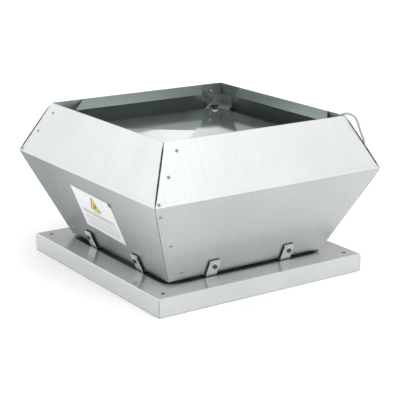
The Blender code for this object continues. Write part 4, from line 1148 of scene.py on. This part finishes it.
def make_rotor():
    """The turning cup with its cooling grooves, the flange bolted to the back plate, and the shaft."""
    low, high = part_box("motor_rotor")
    plate_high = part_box("impeller_back_plate")[1].z
    flange_low = plate_high + GAP
    flange_high = flange_low + 0.003
    flange, inside = radius_of("motor_rotor"), 0.0402
    cup = 0.046
    hub = 0.0043
    floor_z = low.z + 0.004
    pitch, sunk = 0.006, cup - 0.0012
    outer = [(cup, high.z), (cup, high.z - pitch)]
    for groove in range(5):
        top = high.z - 0.008 - groove * pitch
        outer += [(cup, top), (sunk, top - 0.0008), (sunk, top - 0.0026), (cup, top - 0.0034)]
    outer += [(cup, flange_high), (flange, flange_high), (flange, flange_low), (cup, flange_low),
              (cup, low.z + 0.004), (cup - 0.004, low.z), (hub, low.z), (hub, floor_z), (inside, floor_z),
              (inside, high.z)]
    piece("rotor_cup", lathe(rounded(outer, 0.0006, 2), 120), CASTING, body="impeller",
          stands_for=["motor_rotor"])
    shaft_low, shaft_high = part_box("motor_shaft")
    radius = radius_of("motor_shaft")
    shaft = [(0.0, shaft_low.z), (radius - 0.0006, shaft_low.z), (radius, shaft_low.z + 0.0006),
             (radius, shaft_high.z - 0.0006), (radius - 0.0006, shaft_high.z), (0.0, shaft_high.z)]
    piece("shaft", lathe(shaft, 48, closed=False), GROUND_STEEL, body="impeller",
          stands_for=["motor_shaft"])
    screw = screw_mesh(0.0035, 0.0024)
    for number in range(6):
        at = around(ROTOR_SCREW_RING, 2 * pi * number / 6, flange_high)
        fastener(f"rotor_screw_{number + 1}", screw, Matrix.Translation(at), "impeller")


def make_impeller():
    plate_low, plate_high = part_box("impeller_back_plate")
    outer, hole = radius_of("impeller_back_plate"), 0.0466
    plate = [(outer, plate_high.z), (outer, plate_low.z), (hole, plate_low.z), (hole, plate_high.z)]
    piece("back_plate", lathe(rounded(plate, 0.0004, 2), 144), SPUN_ALUMINIUM, body="impeller",
          stands_for=["impeller_back_plate"])
    shroud_low, shroud_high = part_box("impeller_shroud")
    neck, bend = 0.0965, 0.014
    edge = radius_of("impeller_shroud")
    turns = [radians(6 * step) for step in range(16)]
    top = shroud_high.z
    inner = [(neck + bend * (1 - cos(turn)), top - bend * (1 - sin(turn))) for turn in turns]
    outside = [(radius + SHEET * cos(turn), height - SHEET * sin(turn))
               for (radius, height), turn in zip(inner, turns)]
    profile = [(neck, shroud_low.z), *inner, (edge, top), (edge, top - SHEET), *reversed(outside),
               (neck + SHEET, shroud_low.z)]
    piece("inlet_shroud", lathe(profile, 144), SPUN_ALUMINIUM, body="impeller",
          stands_for=["impeller_shroud"])
    make_blades(top, plate_low.z)


BLADES = 7
BLADE_START, BLADE_END = 0.0985, 0.1385
BLADE_ANGLE = radians(30)
BLADE_SHEET = 0.0015
LUG_DEPTH = 0.009


def blade_line(count):
    """Points and angles on the blade's middle line, a spiral at a constant angle to the radius."""
    line = []
    for step in range(count):
        radius = BLADE_START * (BLADE_END / BLADE_START) ** (step / (count - 1))
        angle = -log(radius / BLADE_START) / tan(BLADE_ANGLE)
        line.append(Vector((radius * cos(angle), radius * sin(angle))))
    return line


def strip(line, near, far):
    """A closed outline along a line, between two distances to its left."""
    left, right = [], []
    for number, point in enumerate(line):
        along = (line[min(number + 1, len(line) - 1)] - line[max(number - 1, 0)]).normalized()
        aside = Vector((-along.y, along.x))
        left.append(point + aside * far)
        right.append(point + aside * near)
    return left + right[::-1]


def make_blades(low, high):
    """Blades with two lugs bent over at each end, riveted to the back plate and the shroud."""
    half = BLADE_SHEET / 2
    line = blade_line(31)
    shapes = [slab(strip(line, -half, half), low + GAP, high - GAP, 0.0003)]
    rivets = []
    rivet = lathe([(0.0, 0.0), (0.0028, 0.0), (0.0027, 0.0006), (0.0021, 0.0012), (0.0012, 0.0015),
                   (0.0, 0.0016)], 24, closed=False)
    for centre in (8, 22):
        near = line[centre - 3:centre + 4]
        along = (near[-1] - near[0]).normalized()
        aside = Vector((-along.y, along.x))
        at = line[centre] + aside * (LUG_DEPTH * 0.55)
        for bottom in (low + GAP, high - GAP - BLADE_SHEET):
            shapes.append(slab(strip(near, 0.0, LUG_DEPTH), bottom, bottom + BLADE_SHEET, 0.0004))
        rivets.append((rivet, Matrix.Translation((at.x, at.y, high + 0.0015))))
        under = Matrix.Translation((at.x, at.y, low - SHEET)) @ Matrix.Rotation(pi, 4, "X")
        rivets.append((rivet, under))
    blade, heads = together(*shapes), together(*rivets)
    for number in range(BLADES):
        turn = Matrix.Rotation(2 * pi * number / BLADES, 4, "Z")
        piece(f"blade_{number + 1}", blade, BLADE_ALUMINIUM, turn, body="impeller",
              stands_for=[f"impeller_blade_{number + 1}"])
        fastener(f"blade_rivets_{number + 1}", heads, turn, "impeller")


make_bell_mouth()
make_motor()
make_rotor()
make_impeller()


# Floor and light.

FLOOR_SIZE = 12.0

# The studio's soft light: an even tone all round, and glows where softboxes stand. A glow has an
# azimuth and an elevation in degrees, measured as the camera's are, how narrow it is, and a strength.
# About half of the strengths began as a least-squares fit to the photo's tones, made by another program,
# and were then changed by hand. The rest were set one by one. The very narrow one is aimed for the
# photo's camera only: it stands low behind the fan, where the cover's near slopes mirror it.
AMBIENT = 0.32
GLOWS = ((0, 90, 4, 0.85), (-145, 14, 22, 0.95), (-110, 14, 22, 0.5), (-75, 14, 22, 0.5), (38, 14, 22, 0.55),
         (110, 14, 22, 0.5), (147, 13, 400, 1.1), (-145, 42, 14, 1.4), (0, 42, 14, 3.5), (50, 46, 14, 1.0),
         (-175, 38, 14, 0.8), (-35, 22, 14, 0.6), (85, 32, 14, 0.5), (130, 45, 14, 0.6))


def make_floor():
    bm = bmesh.new()
    bmesh.ops.create_grid(bm, x_segments=1, y_segments=1, size=FLOOR_SIZE)
    floor_piece = bpy.data.objects.new("floor", mesh_of(bm))
    bpy.context.scene.collection.objects.link(floor_piece)
    floor_piece.data.materials.append(material("floor", (0.95, 0.95, 0.95), 0.85))


def make_world():
    """The world's strength is the even tone plus every glow."""
    world = bpy.data.worlds.new("studio")
    bpy.context.scene.world = world
    world.use_nodes = True
    way = node(world, "ShaderNodeTexCoord").outputs["Generated"]
    total = AMBIENT
    for azimuth, elevation, narrowness, strength in GLOWS:
        turn, lift = radians(azimuth), radians(elevation)
        dot = node(world, "ShaderNodeVectorMath", operation="DOT_PRODUCT")
        dot.inputs[1].default_value = (sin(turn) * cos(lift), -cos(turn) * cos(lift), sin(lift))
        link(world, way, dot.inputs[0])
        glow = maths(world, "MAXIMUM", dot.outputs["Value"], 0.0)
        glow = maths(world, "POWER", glow, float(narrowness))
        total = maths(world, "ADD", maths(world, "MULTIPLY", glow, strength), total)
    background = world.node_tree.nodes["Background"]
    background.inputs["Color"].default_value = (1.0, 1.0, 1.0, 1.0)
    link(world, total, background.inputs["Strength"])
    bpy.context.scene.view_settings.view_transform = "Standard"


make_floor()
make_world()
